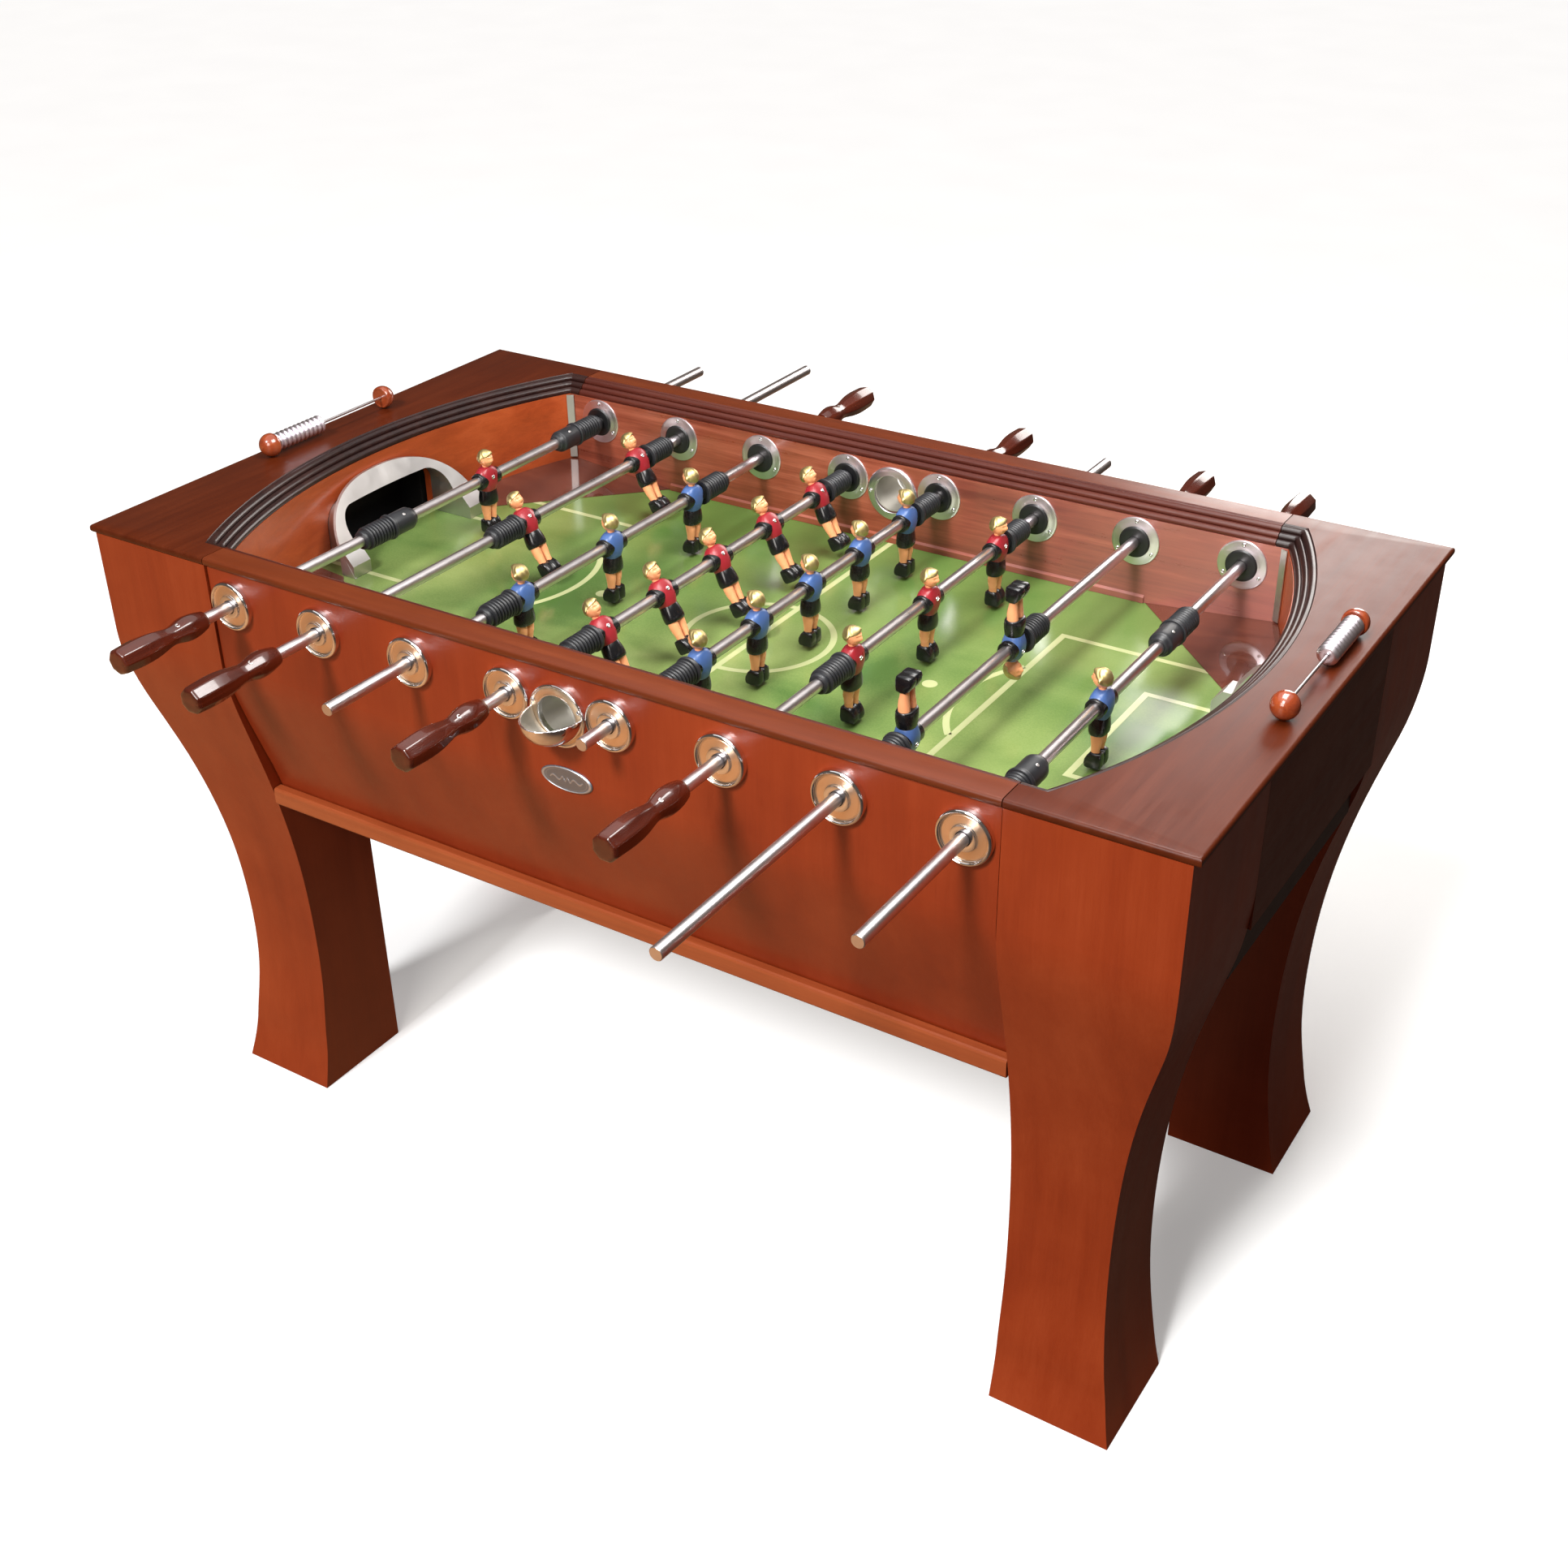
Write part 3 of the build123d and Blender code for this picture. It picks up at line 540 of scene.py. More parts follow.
def end_top(sx):
    """End board: the moulding follows the side wall, mitres in the corner and follows the arc."""
    sec = [("i", 0.6, 880.4), ("i", 1.0, 880.5)] + [("i", d, z) for d, z in BEADS] + [("i", 25.0, 901.7), ("i", 26.0, 903.0)]
    n_bead = len(sec)
    sec += [("o", e, TABLE_H + z) for e, z in OUT_EDGE]
    sec += [("i", 24.8, 892.3), ("i", 24.8, 880.4)]
    nA, nB = 10, 84
    steps = [(0, k / nA) for k in range(nA)] + [(1, k / nB) for k in range(nB)] + [(2, k / nA) for k in range(nA + 1)]
    V = []
    for seg, t in steps:
        for kind, a, z in sec:
            if kind == "i":
                yy = WALL_Y + a
                r = ARC_R + a
                xc = -ARC_C + math.sqrt(r * r - yy * yy)
                th = math.asin(yy / r)
                if seg == 0:
                    p = (SEAM_X + 0.6 + (xc - SEAM_X - 0.6) * t, yy)
                elif seg == 1:
                    g = th * (1 - 2 * t)
                    p = (-ARC_C + r * math.cos(g), r * math.sin(g))
                else:
                    p = (xc + (SEAM_X + 0.6 - xc) * t, -yy)
            else:
                X, Y = 775.0 - a, 420.0 - a
                if seg == 0:
                    p = (SEAM_X + 0.6 + (X - SEAM_X - 0.6) * t, Y)
                elif seg == 1:
                    p = (X, Y * (1 - 2 * t))
                else:
                    p = (X + (SEAM_X + 0.6 - X) * t, -Y)
            V.append((sx * p[0], p[1], z))
    m, n = len(sec), len(steps)
    wood_f, bead_f = [], []
    for i in range(n - 1):
        for k in range(m):
            k2 = (k + 1) % m
            f = (i * m + k, i * m + k2, (i + 1) * m + k2, (i + 1) * m + k)
            (bead_f if k < n_bead - 1 else wood_f).append(f)
    wood_f.append(tuple(range(m)))
    wood_f.append(tuple((n - 1) * m + k for k in range(m)))
    nm = "end_top_right" if sx > 0 else "end_top_left"
    o = obj(nm, V, wood_f + bead_f, [M["top_y"], M["bead"]], angle=50)
    nb = len(bead_f)
    for p in list(o.data.polygons)[-nb:]:
        p.material_index = 1
    return o


tops = [end_top(1), end_top(-1)]
for o in tops:
    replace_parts(o, "end_tops")


def side_top(sy):
    sec = [(357.6, 880.4), (358.0, 880.5)] + [(WALL_Y + d, z) for d, z in BEADS] + [(382.0, 901.7), (383.0, 903.0)]
    nb = len(sec)
    sec += [(420.0 - e, TABLE_H + z) for e, z in OUT_EDGE] + [(381.8, 892.3), (381.8, 880.4)]
    a, b = -SEAM_X + 0.6, SEAM_X - 0.6
    n = 24
    V, F = sweep(sec, lambda t, p: (a + (b - a) * t, sy * p[0], p[1]), n)
    o = obj("side_top_far" if sy > 0 else "side_top_near", V, F, [M["top_x"], M["bead_x"]], angle=50)
    m = len(sec)
    for idx, p in enumerate(o.data.polygons):
        if idx < n * m and idx % m < nb - 1:
            p.material_index = 1
    return o


for s in (-1, 1):
    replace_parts(side_top(s), "side_tops")


# ------------------------------------------------------------------ field markings
def strip(pts_outer, pts_inner, z0, z1, close=False):
    """Thin printed stripe between two outlines."""
    n = len(pts_outer)
    V = [(x, y, z) for z in (z0, z1) for pts in (pts_outer, pts_inner) for x, y in pts]
    o0, i0, o1, i1 = 0, n, 2 * n, 3 * n
    F = []
    for k in range(n if close else n - 1):
        k2 = (k + 1) % n
        F += [(o1 + k, o1 + k2, i1 + k2, i1 + k), (o0 + k2, o0 + k, i0 + k, i0 + k2),
              (o0 + k, o0 + k2, o1 + k2, o1 + k), (i0 + k2, i0 + k, i1 + k, i1 + k2)]
    if not close:
        F += [(o0, o1, i1, i0), (o0 + n - 1, i0 + n - 1, i1 + n - 1, o1 + n - 1)]
    return V, F


LW = 8.6
Z0, Z1 = FIELD_Z + 0.02, FIELD_Z + 0.14
parts = []


def line(x0, y0, x1, y1, w=LW):
    d = Vector((x1 - x0, y1 - y0)).normalized()
    nrm = Vector((-d.y, d.x)) * w / 2
    k = 12
    po = [(x0 + (x1 - x0) * i / k + nrm.x, y0 + (y1 - y0) * i / k + nrm.y) for i in range(k + 1)]
    pi = [(x0 + (x1 - x0) * i / k - nrm.x, y0 + (y1 - y0) * i / k - nrm.y) for i in range(k + 1)]
    return strip(po, pi, Z0, Z1)


def arc(cx, cy, r, a0, a1, n=64, w=LW, close=False):
    th = [a0 + (a1 - a0) * i / n for i in range(n if close else n + 1)]
    po = [(cx + (r + w / 2) * math.cos(t), cy + (r + w / 2) * math.sin(t)) for t in th]
    pi = [(cx + (r - w / 2) * math.cos(t), cy + (r - w / 2) * math.sin(t)) for t in th]
    return strip(po, pi, Z0, Z1, close)


parts.append(line(0, -356, 0, -100 - LW / 2 + 0.2))
parts.append(line(0, 100 + LW / 2 - 0.2, 0, 356))
parts.append(line(0, -100 + LW / 2 - 0.2, 0, 100 - LW / 2 + 0.2))
parts.append(arc(0, 0, 100, 0, 2 * math.pi, 96, close=True))
for s in (-1, 1):
    for (xx, yy, xe) in ((344, 210, 548), (502, 115, 657)):
        h = LW / 2
        parts.append(line(s * xx, -yy - h, s * xx, yy + h))
        for q in (-1, 1):
            parts.append(line(s * (xx + h), q * yy, s * xe, q * yy))
    a = math.acos((472 - 344 + LW / 2) / 168)
    base = math.pi if s > 0 else 0.0
    parts.append(arc(s * 472, 0, 168, base - a, base + a, 40))
    r = 10.0
    ring = [(s * 258 + r * math.cos(t), r * math.sin(t)) for t in [2 * math.pi * k / 32 for k in range(32)]]
    V = [(x, y, Z0) for x, y in ring] + [(x, y, Z1) for x, y in ring]
    F = [tuple(range(32, 64)), tuple(reversed(range(32)))] + [(k, (k + 1) % 32, 32 + (k + 1) % 32, 32 + k) for k in range(32)]
    parts.append((V, F))
V, F = join(parts)
obj("field_lines", V, F, M["line"], smooth=False)


# ------------------------------------------------------------------ figures
def ring(a, b, z, n=40, p=2.6, cx=0.0, cy=0.0):
    pts = []
    for k in range(n):
        t = 2 * math.pi * k / n
        c, s = math.cos(t), math.sin(t)
        pts.append((cx + a * math.copysign(abs(c) ** (2 / p), c), cy + b * math.copysign(abs(s) ** (2 / p), s), z))
    return pts


def loft(rings):
    m = len(rings[0])
    V = [p for r in rings for p in r]
    F = []
    for i in range(len(rings) - 1):
        for k in range(m):
            k2 = (k + 1) % m
            F.append((i * m + k, i * m + k2, (i + 1) * m + k2, (i + 1) * m + k))
    F.append(tuple(reversed(range(m))))
    F.append(tuple((len(rings) - 1) * m + k for k in range(m)))
    return V, F


def gauss(a, b, s):
    return math.exp(-((a / s) ** 2 + (b / s) ** 2) / 2)


def wrap(a):
    return (a + math.pi) % (2 * math.pi) - math.pi


def head_point(az, el, off=0.0):
    """Point of the head in direction (azimuth from straight ahead, elevation)."""
    cx, cy, cz = math.cos(el) * math.cos(az), math.cos(el) * math.sin(az), math.sin(el)
    r = 1.0 / math.sqrt((cx / 11.6) ** 2 + (cy / 9.9) ** 2 + (cz / 12.6) ** 2)
    if cz < 0:
        r *= 1 - 0.10 * (-cz) ** 1.3 * (1.0 if cx < 0.2 else 0.5)
    r += 2.7 * gauss(az, (el + 0.10) * 0.8, 0.15)
    r += 0.9 * math.exp(-((el - 0.30) / 0.10) ** 2) * math.exp(-(az / 0.62) ** 4)
    r += 0.9 * gauss(az, el + 0.95, 0.26)
    for q in (-1, 1):
        r -= 0.9 * gauss(wrap(az - q * 0.40), el - 0.10, 0.15)
        r += 0.5 * gauss(wrap(az - q * 0.62), el + 0.20, 0.18)
        r += 2.3 * gauss(wrap(az - q * 1.66), (el - 0.02) * 0.72, 0.17)
    r -= 0.7 * math.exp(-((el + 0.50) / 0.06) ** 2) * math.exp(-(az / 0.34) ** 4)
    r += off
    return (0.6 + r * cx, r * cy, 31.0 + r * cz)


def head():
    na, ne = 72, 52
    V = [head_point(0, -math.pi / 2)]
    for j in range(1, ne):
        el = -math.pi / 2 + math.pi * j / ne
        V += [head_point(wrap(2 * math.pi * i / na), el) for i in range(na)]
    V.append(head_point(0, math.pi / 2))
    F = []
    top = len(V) - 1
    for i in range(na):
        i2 = (i + 1) % na
        F.append((0, 1 + i2, 1 + i))
        F.append((top, 1 + (ne - 2) * na + i, 1 + (ne - 2) * na + i2))
        for j in range(ne - 2):
            F.append((1 + j * na + i, 1 + j * na + i2, 1 + (j + 1) * na + i2, 1 + (j + 1) * na + i))
    return V, F


def hair():
    na, ne = 72, 22
    V, F = [], []

    def line_at(az):
        a = abs(az)
        front = 0.50 + 0.10 * math.sin(az * 2.2 + 0.5)
        side = 0.26 if a < 1.45 else 0.10
        back = -0.52
        if a < 0.75:
            return front
        if a < 1.30:
            t = (a - 0.75) / 0.55
            return front + (side - front) * (t * t * (3 - 2 * t))
        t = min(1.0, (a - 1.30) / 0.75)
        return side + (back - side) * (t * t * (3 - 2 * t))
    for j in range(ne):
        t = j / (ne - 1)
        for i in range(na):
            az = wrap(2 * math.pi * i / na)
            lo = line_at(az)
            e = lo + (math.pi / 2 - 0.02 - lo) * max(0.0, t - 0.06) / 0.94
            thick = 1.35 * min(1.0, (t / 0.10) ** 0.5) - 0.5
            sw = 2.1 * gauss(wrap(az - 0.25) * 0.7, e - 0.80, 0.26)
            rid = 0.24 * math.sin(9 * az + 7 * e) * math.cos(e) * min(1, t * 4)
            V.append(head_point(az, e, thick + sw * min(1, t * 6) + rid))
    for j in range(ne - 1):
        for i in range(na):
            i2 = (i + 1) % na
            F.append((j * na + i, j * na + i2, (j + 1) * na + i2, (j + 1) * na + i))
    F.append(tuple((ne - 1) * na + i for i in range(na)))
    inner = len(V)
    for i in range(na):
        az = wrap(2 * math.pi * i / na)
        V.append(head_point(az, min(1.2, line_at(az) + 0.25), -1.6))
    for i in range(na):
        i2 = (i + 1) % na
        F.append((inner + i, inner + i2, i2, i))
    F.append(tuple(reversed(range(inner, inner + na))))
    return V, F


def hub():
    prof = [(8.06, -20.5), (11.2, -20.5), (12.1, -20.0), (12.4, -19.2), (12.4, 19.2), (12.1, 20.0), (11.2, 20.5), (8.06, 20.5)]
    return lathe_data(prof, 48, True)


def boots():
    prof = [(-8.6, -62.5), (-3.0, -60.8), (4.0, -61.0), (8.2, -65.6), (11.2, -71.5), (12.0, -76.6), (10.9, -80.6), (8.6, -81.9),
            (-6.2, -82.0), (-8.6, -80.6), (-9.6, -76.0), (-9.4, -68.0)]
    cx = sum(p[0] for p in prof) / len(prof)
    cz = sum(p[1] for p in prof) / len(prof)
    rings = []
    for y, s in ((-13.6, 0.78), (-13.1, 0.88), (-12.2, 0.96), (-10.8, 1.0), (-2.2, 1.0), (-1.0, 0.965), (-0.3, 0.90), (0.3, 0.90),
                 (1.0, 0.965), (2.2, 1.0), (10.8, 1.0), (12.2, 0.96), (13.1, 0.88), (13.6, 0.78)):
        rings.append([(cx + (x - cx) * s, y, cz + (z - cz) * s) for x, z in prof])
    return loft(rings)


def cross_screw(r=2.7, h=1.5, n=32, slot=0.42):
    """Domed screw head standing on the XY plane, cross recess on top."""
    V, F = [(0, 0, h - 1.0)], []
    rad = [0.12, 0.24, 0.36, 0.48, 0.62, 0.74, 0.86, 0.95, 1.0]
    for q in rad:
        for k in range(n):
            a = 2 * math.pi * k / n
            x, y = r * q * math.cos(a), r * q * math.sin(a)
            z = h * math.sqrt(max(0.0, 1 - (q * 0.86) ** 2)) if q < 1 else 0.45 * h
            if (abs(x) < slot or abs(y) < slot) and q < 0.7:
                z -= 0.9
            V.append((x, y, z))
    m = len(rad)
    for k in range(n):
        V.append((V[1 + (m - 1) * n + k][0], V[1 + (m - 1) * n + k][1], 0.0))
    for k in range(n):
        k2 = (k + 1) % n
        F.append((0, 1 + k, 1 + k2))
        for j in range(m):
            F.append((1 + j * n + k, 1 + (j + 1) * n + k, 1 + (j + 1) * n + k2, 1 + j * n + k2))
    F.append(tuple(reversed(range(1 + m * n, 1 + (m + 1) * n))))
    return V, F


def turn_to(verts, direction, at, spin=0.0):
    """Stand a piece built on the XY plane up along a direction at a place."""
    d = Vector(direction).normalized()
    q = Vector((0, 0, 1)).rotation_difference(d)
    c, s = math.cos(spin), math.sin(spin)
    out = []
    for x, y, z in verts:
        p = q @ Vector((x * c - y * s, x * s + y * c, z))
        out.append((p.x + at[0], p.y + at[1], p.z + at[2]))
    return out


def figure_mesh(name, shirt):
    pieces = []
    pieces.append((hub(), 0))
    sh = []
    for z, hy, hx in ((18.6, 6.2, 5.6), (18.0, 8.2, 6.8), (16.8, 11.0, 8.0), (14.8, 14.0, 9.2), (11.5, 17.0, 10.8), (7.5, 18.4, 12.2),
                      (3.0, 18.7, 13.1), (-2.0, 17.6, 13.4), (-6.0, 15.8, 13.2), (-10.0, 14.0, 12.5), (-14.0, 12.5, 11.4),
                      (-16.6, 11.9, 10.6), (-17.2, 11.2, 10.0)):
        sh.append(ring(hx, hy, z, 48, 2.7))
    pieces.append((loft(sh), 1))
    pieces.append((loft([ring(5.0, 5.0, 15.0, 32, 2), ring(4.7, 4.8, 18.5, 32, 2), ring(4.9, 5.0, 22.0, 32, 2),
                         ring(5.2, 5.2, 25.0, 32, 2)]), 2))
    so = []
    for z, hy, hx in ((-13.5, 10.6, 9.4), (-15.0, 11.8, 10.2), (-17.0, 12.4, 10.8), (-22.0, 13.6, 11.4), (-28.0, 14.8, 11.8),
                      (-33.0, 15.4, 11.6), (-36.4, 15.2, 11.0), (-37.8, 14.4, 10.2), (-38.2, 13.4, 9.4)):
        so.append(ring(hx, hy, z, 48, 2.5))
    pieces.append((loft(so), 0))
    for q in (-1, 1):
        cal = []
        for z, r, dx, dy in ((-34, 6.9, 0.4, 7.3), (-40, 6.9, 0.0, 7.1), (-45, 6.8, -0.5, 6.9), (-50, 6.3, -0.6, 6.7),
                             (-55, 5.6, -0.3, 6.5), (-60, 5.2, 0.0, 6.4), (-66, 5.2, 0.0, 6.4)):
            cal.append(ring(r, r * 0.97, z, 32, 2.1, dx, q * dy))
        pieces.append((loft(cal), 2))
    pieces.append((boots(), 0))
    pieces.append((head(), 2))
    pieces.append((hair(), 3))
    sv, sf = cross_screw(2.9, 1.6)
    pieces.append(((turn_to(sv, (1, 0, 0.08), (12.55, 0, 4.5), 0.5), sf), 4))
    V, F = join([p for p, _ in pieces])
    me = bpy.data.meshes.new(name)
    me.from_pydata([tuple(c * MM for c in v) for v in V], [], F)
    me.update()
    bm = bmesh.new()
    bm.from_mesh(me)
    bmesh.ops.recalc_face_normals(bm, faces=bm.faces)
    bm.to_mesh(me)
    bm.free()
    for m in (M["figblack"], shirt, M["skin"], M["hair"], M["chrome"]):
        me.materials.append(m)
    k = 0
    for (v, f), idx in pieces:
        for _ in f:
            me.polygons[k].material_index = idx
            k += 1
    return me


fig = {1: figure_mesh("figure_red_mesh", M["red"]), -1: figure_mesh("figure_blue_mesh", M["blue"])}
rng = random.Random(7)
for i, (side, tip, off, turn, face, places, stops) in enumerate(RODS):
    for k, p in enumerate(places):
        mat = (Matrix.Translation((rod_x(i) * MM, (off + p) * MM, ROD_Z * MM))
               @ Matrix.Rotation(math.radians(turn), 4, "Y")
               @ Matrix.Rotation(0 if face > 0 else math.pi, 4, "Z"))
        place(f"figure_{i + 1}_{k + 1}", fig[face], None, True, f"rod_{i + 1}",
              (f"players_{i + 1}",), 48.0, mat)


# ------------------------------------------------------------------ grips
def grip_mesh():
    rb = 8.06
    prof = [(rb, 0.0, 0.2), (10.6, 0.0, 0.2), (11.6, 0.35, 0.2), (12.2, 1.3, 0.2), (12.9, 4.0, 0.25), (14.2, 9.0, 0.35),
            (15.5, 15.0, 0.45), (16.2, 20.0, 0.5), (16.6, 25.0, 0.5), (16.6, 30.0, 0.5), (15.9, 35.5, 0.5), (14.4, 41.5, 0.55),
            (13.0, 47.0, 0.6), (12.35, 51.5, 0.65), (12.25, 55.5, 0.7), (12.7, 60.0, 0.75), (13.9, 66.0, 0.85), (15.2, 72.5, 0.95),
            (16.6, 80.0, 1.0), (17.6, 88.0, 1.0), (18.15, 96.0, 1.0), (18.38, 104.0, 1.0), (18.2, 113.0, 1.0), (17.8, 122.0, 1.0),
            (17.45, 129.0, 1.0), (17.2, 133.2, 1.0), (16.8, 134.6, 1.0), (16.0, 135.9, 0.95), (14.9, 137.0, 0.9),
            (13.4, 137.7, 0.8), (11.0, 138.0, 0.6), (6.0, 138.0, 0.3), (0.0, 138.0, 0.0)]
    n = 96
    V, F = [], []
    rows = []
    for r, y, w in prof:
        if r == 0:
            rows.append([len(V)])
            V.append((0, y, 0))
            continue
        ids = []
        for k in range(n):
            a = 2 * math.pi * k / n + math.pi / 8
            s = ((a) % (math.pi / 4)) - math.pi / 8
            octa = r * math.cos(math.pi / 8) / math.cos(s)
            # the eight edges are eased a little
            edge = max(0.0, (abs(s) - math.pi / 8 * 0.84) / (math.pi / 8 * 0.16))
            octa *= 1 - 0.012 * edge ** 2
            rr = r * (1 - w) + octa * w if r > rb else r
            ids.append(len(V))
            V.append((rr * math.cos(a), y, rr * math.sin(a)))
        rows.append(ids)
    back = []
    for k in range(n):
        a = 2 * math.pi * k / n + math.pi / 8
        back.append(len(V))
        V.append((rb * math.cos(a), 104.0, rb * math.sin(a)))
    mid = len(V)
    V.append((0, 104.0, 0))
    for a, b in zip(rows, rows[1:]):
        for k in range(n):
            k2 = (k + 1) % n
            if len(b) == 1:
                F.append((a[k], b[0], a[k2]))
            else:
                F.append((a[k], b[k], b[k2], a[k2]))
    for k in range(n):
        k2 = (k + 1) % n
        F.append((rows[0][k2], back[k2], back[k], rows[0][k]))
        F.append((back[k2], mid, back[k]))
    return V, F


gv, gf = grip_mesh()
hole_prof = [(1.5, -1.0), (1.5, 0.35), (1.9, 0.55), (2.7, 0.55), (3.1, 0.30), (3.2, -1.0)]
for i, (side, tip, off, turn, face, places, stops) in enumerate(RODS):
    n = i + 1
    y0 = off + side * tip
    roll = (0.0, 0.35, 0.12, 0.5, 0.2, 0.4, 0.1, 0.3)[i]
    v = shift(gv, rot=roll)
    v = shift(v, (rod_x(i), y0, ROD_Z), flip=side < 0)
    o = obj(f"grip_{n}", v, gf, M["grip"], True, f"rod_{n}", (f"handle_{n}",), 26)
    # ferrule ring of the set screw
    d = Vector((math.sin(0.35 + roll * 0.2), 0, math.cos(0.35 + roll * 0.2)))
    hv, hf = lathe_data(hole_prof, 28, True)
    hv = [(x, z, y) for x, y, z in hv]
    at = Vector((rod_x(i), y0 + side * 44.0, ROD_Z)) + d * 13.05
    obj(f"grip_pin_{n}", turn_to(hv, d, at), hf, M["silver"], True, f"rod_{n}", (), 40)


# ------------------------------------------------------------------ rubber stops
def bumper_profile(n):
    rb = 8.24
    p = [(rb, 0.0), (16.6, 0.0), (17.6, 0.4), (18.0, 1.3), (18.0, 3.1), (17.5, 4.1), (16.2, 4.8), (13.8, 5.2)]
    ribs = 8 if n > 52 else 6
    end = n - 7.0
    step = (end - 5.6) / ribs
    for k in range(ribs):
        y = 5.6 + k * step
        p += [(12.2, y), (13.2, y + step * 0.10), (14.9, y + step * 0.17), (15.9, y + step * 0.29), (16.2, y + step * 0.45),
              (15.9, y + step * 0.61), (14.9, y + step * 0.73), (13.2, y + step * 0.80), (12.2, y + step * 0.90)]
    p += [(13.0, end + 0.4), (13.1, n - 2.4), (12.6, n - 1.0), (11.6, n - 0.2), (rb + 0.9, n), (rb, n - 0.6)]
    return p


def collar_profile(n):
    rb = 8.24
    return [(rb, 0.3), (rb + 0.5, 0.0), (10.6, 0.0), (11.6, 0.4), (12.2, 1.3), (12.6, 6.4), (13.4, 7.1), (14.9, 7.5), (15.6, 8.1),
            (15.9, 9.2), (16.0, 14.0), (16.0, n - 2.2), (15.8, n - 1.1), (15.0, n - 0.3), (14.0, n), (rb, n)]


for i, (side, tip, off, turn, face, places, stops) in enumerate(RODS):
    n = i + 1
    parts, extra = [], []
    for s in (-1, 1):
        if len(stops) == 3:
            cv, cf = lathe_data(collar_profile(stops[1] - stops[0] - 0.2), 56, True)
            parts.append((shift(shift(cv, (0, stops[0], 0)), flip=s < 0), cf))
            rv, rf = lathe_data([(9.0, 0.0), (16.6, 0.0), (16.9, 0.5), (16.6, 1.0), (9.0, 1.0)], 56, True)
            sv, sf = cross_screw(2.2, 1.0)
            for a in (0.6,):
                d = (math.sin(a), 0, math.cos(a))
                at = (16.0 * d[0], s * (stops[0] + 24), 16.0 * d[2])
                extra.append((turn_to(sv, d, at), sf))
            b0 = stops[1]
        else:
            b0 = stops[0]
        bv, bf = lathe_data(bumper_profile(stops[-1] - b0), 56, True)
        parts.append((shift(shift(bv, (0, b0, 0)), flip=s < 0), bf))
    V, F = join([(shift(v, (rod_x(i), off, ROD_Z)), f) for v, f in parts])
    obj(f"rubber_stops_{n}", V, F, M["rubber"], True, f"stops_{n}", (f"bumpers_{n}",), 50)
    if extra:
        V, F = join([(shift(v, (rod_x(i), off, ROD_Z)), f) for v, f in extra])
        obj(f"collar_screws_{n}", V, F, M["silver"], True, f"stops_{n}", (), 40)


# ------------------------------------------------------------------ bearings
OUTER = [(12.7, 415.2), (33.0, 415.2), (33.0, 420.0), (32.85, 421.6), (32.2, 422.9), (31.1, 423.75), (29.9, 424.0), (29.0, 423.5),
         (28.5, 422.4), (28.2, 421.1), (27.7, 420.7), (26.6, 420.6), (26.3, 420.35), (25.9, 420.35), (25.6, 420.6), (17.4, 420.6),
         (16.3, 420.85), (15.65, 421.8), (15.5, 423.0), (15.1, 423.7), (14.3, 424.0), (9.8, 424.0), (9.1, 423.8), (8.75, 423.2),
         (9.3, 422.98), (12.7, 422.98)]
INNER = [(12.7, 356.8), (34.3, 356.8), (34.3, 356.2), (34.0, 355.4), (33.2, 355.0), (31.0, 354.75), (27.0, 354.1), (23.5, 353.3),
         (22.6, 353.0), (12.7, 353.0)]
NYLON = [(8.24, 350.9), (8.6, 350.2), (9.6, 350.0), (18.6, 350.0), (20.3, 350.25), (21.5, 351.0), (22.0, 352.0), (21.8, 352.8),
         (12.5, 352.8), (12.5, 422.8), (8.24, 422.8)]
ov, of_ = lathe_data(OUTER, 72, True)
iv, if_ = lathe_data(INNER, 72, True)
nv, nf = lathe_data(NYLON, 64, True)
p1, p2, p3 = [], [], []
for i in range(8):
    for s in (1, -1):
        at = (rod_x(i), 0, ROD_Z)
        p1.append((shift(ov, at, flip=s < 0), of_))
        p2.append((shift(iv, at, flip=s < 0), if_))
        p3.append((shift(nv, at, flip=s < 0), nf))
V, F = join(p1)
o = obj("outer_plates", V, F, [M["chrome"], M["chrome_flat"]], True, "cabinet", ("bearing_flanges",), 38)
nper = len(of_)
for q in range(16):
    for k in range(nper):
        if 10 <= k // 72 <= 15:
            o.data.polygons[q * nper + k].material_index = 1
V, F = join(p2)
obj("inner_rings", V, F, M["ring"], True, "cabinet", ("bearing_flanges",), 38)
V, F = join(p3)
obj("nylon_bushes", V, F, M["nylon"], True, "cabinet", ("bearing_bushes",), 38)

# screws of the inner rings and of the ball entries
sv, sf = cross_screw(2.6, 1.45)
ps = []
for i in range(8):
    for s in (-1, 1):
        for a in (90, 210, 330):
            c, q = math.cos(math.radians(a)), math.sin(math.radians(a))
            ps.append((turn_to(sv, (0, -s, 0), (rod_x(i) + 28.5 * c, s * (WALL_Y - 2.75), ROD_Z + 28.5 * q), rng.random() * 3), sf))
for s in (-1, 1):
    for q in (-1, 1):
        ps.append((turn_to(sv, (0, s, 0), (q * 33.0, s * 422.05, 850.0), rng.random() * 3), sf))
        ps.append((turn_to(sv, (0, -s, 0), (q * 34.2, s * 352.05, 834.5), rng.random() * 3), sf))
V, F = join(ps)
obj("screw_heads", V, F, M["chrome"], True, "cabinet", ("screws",), 35)


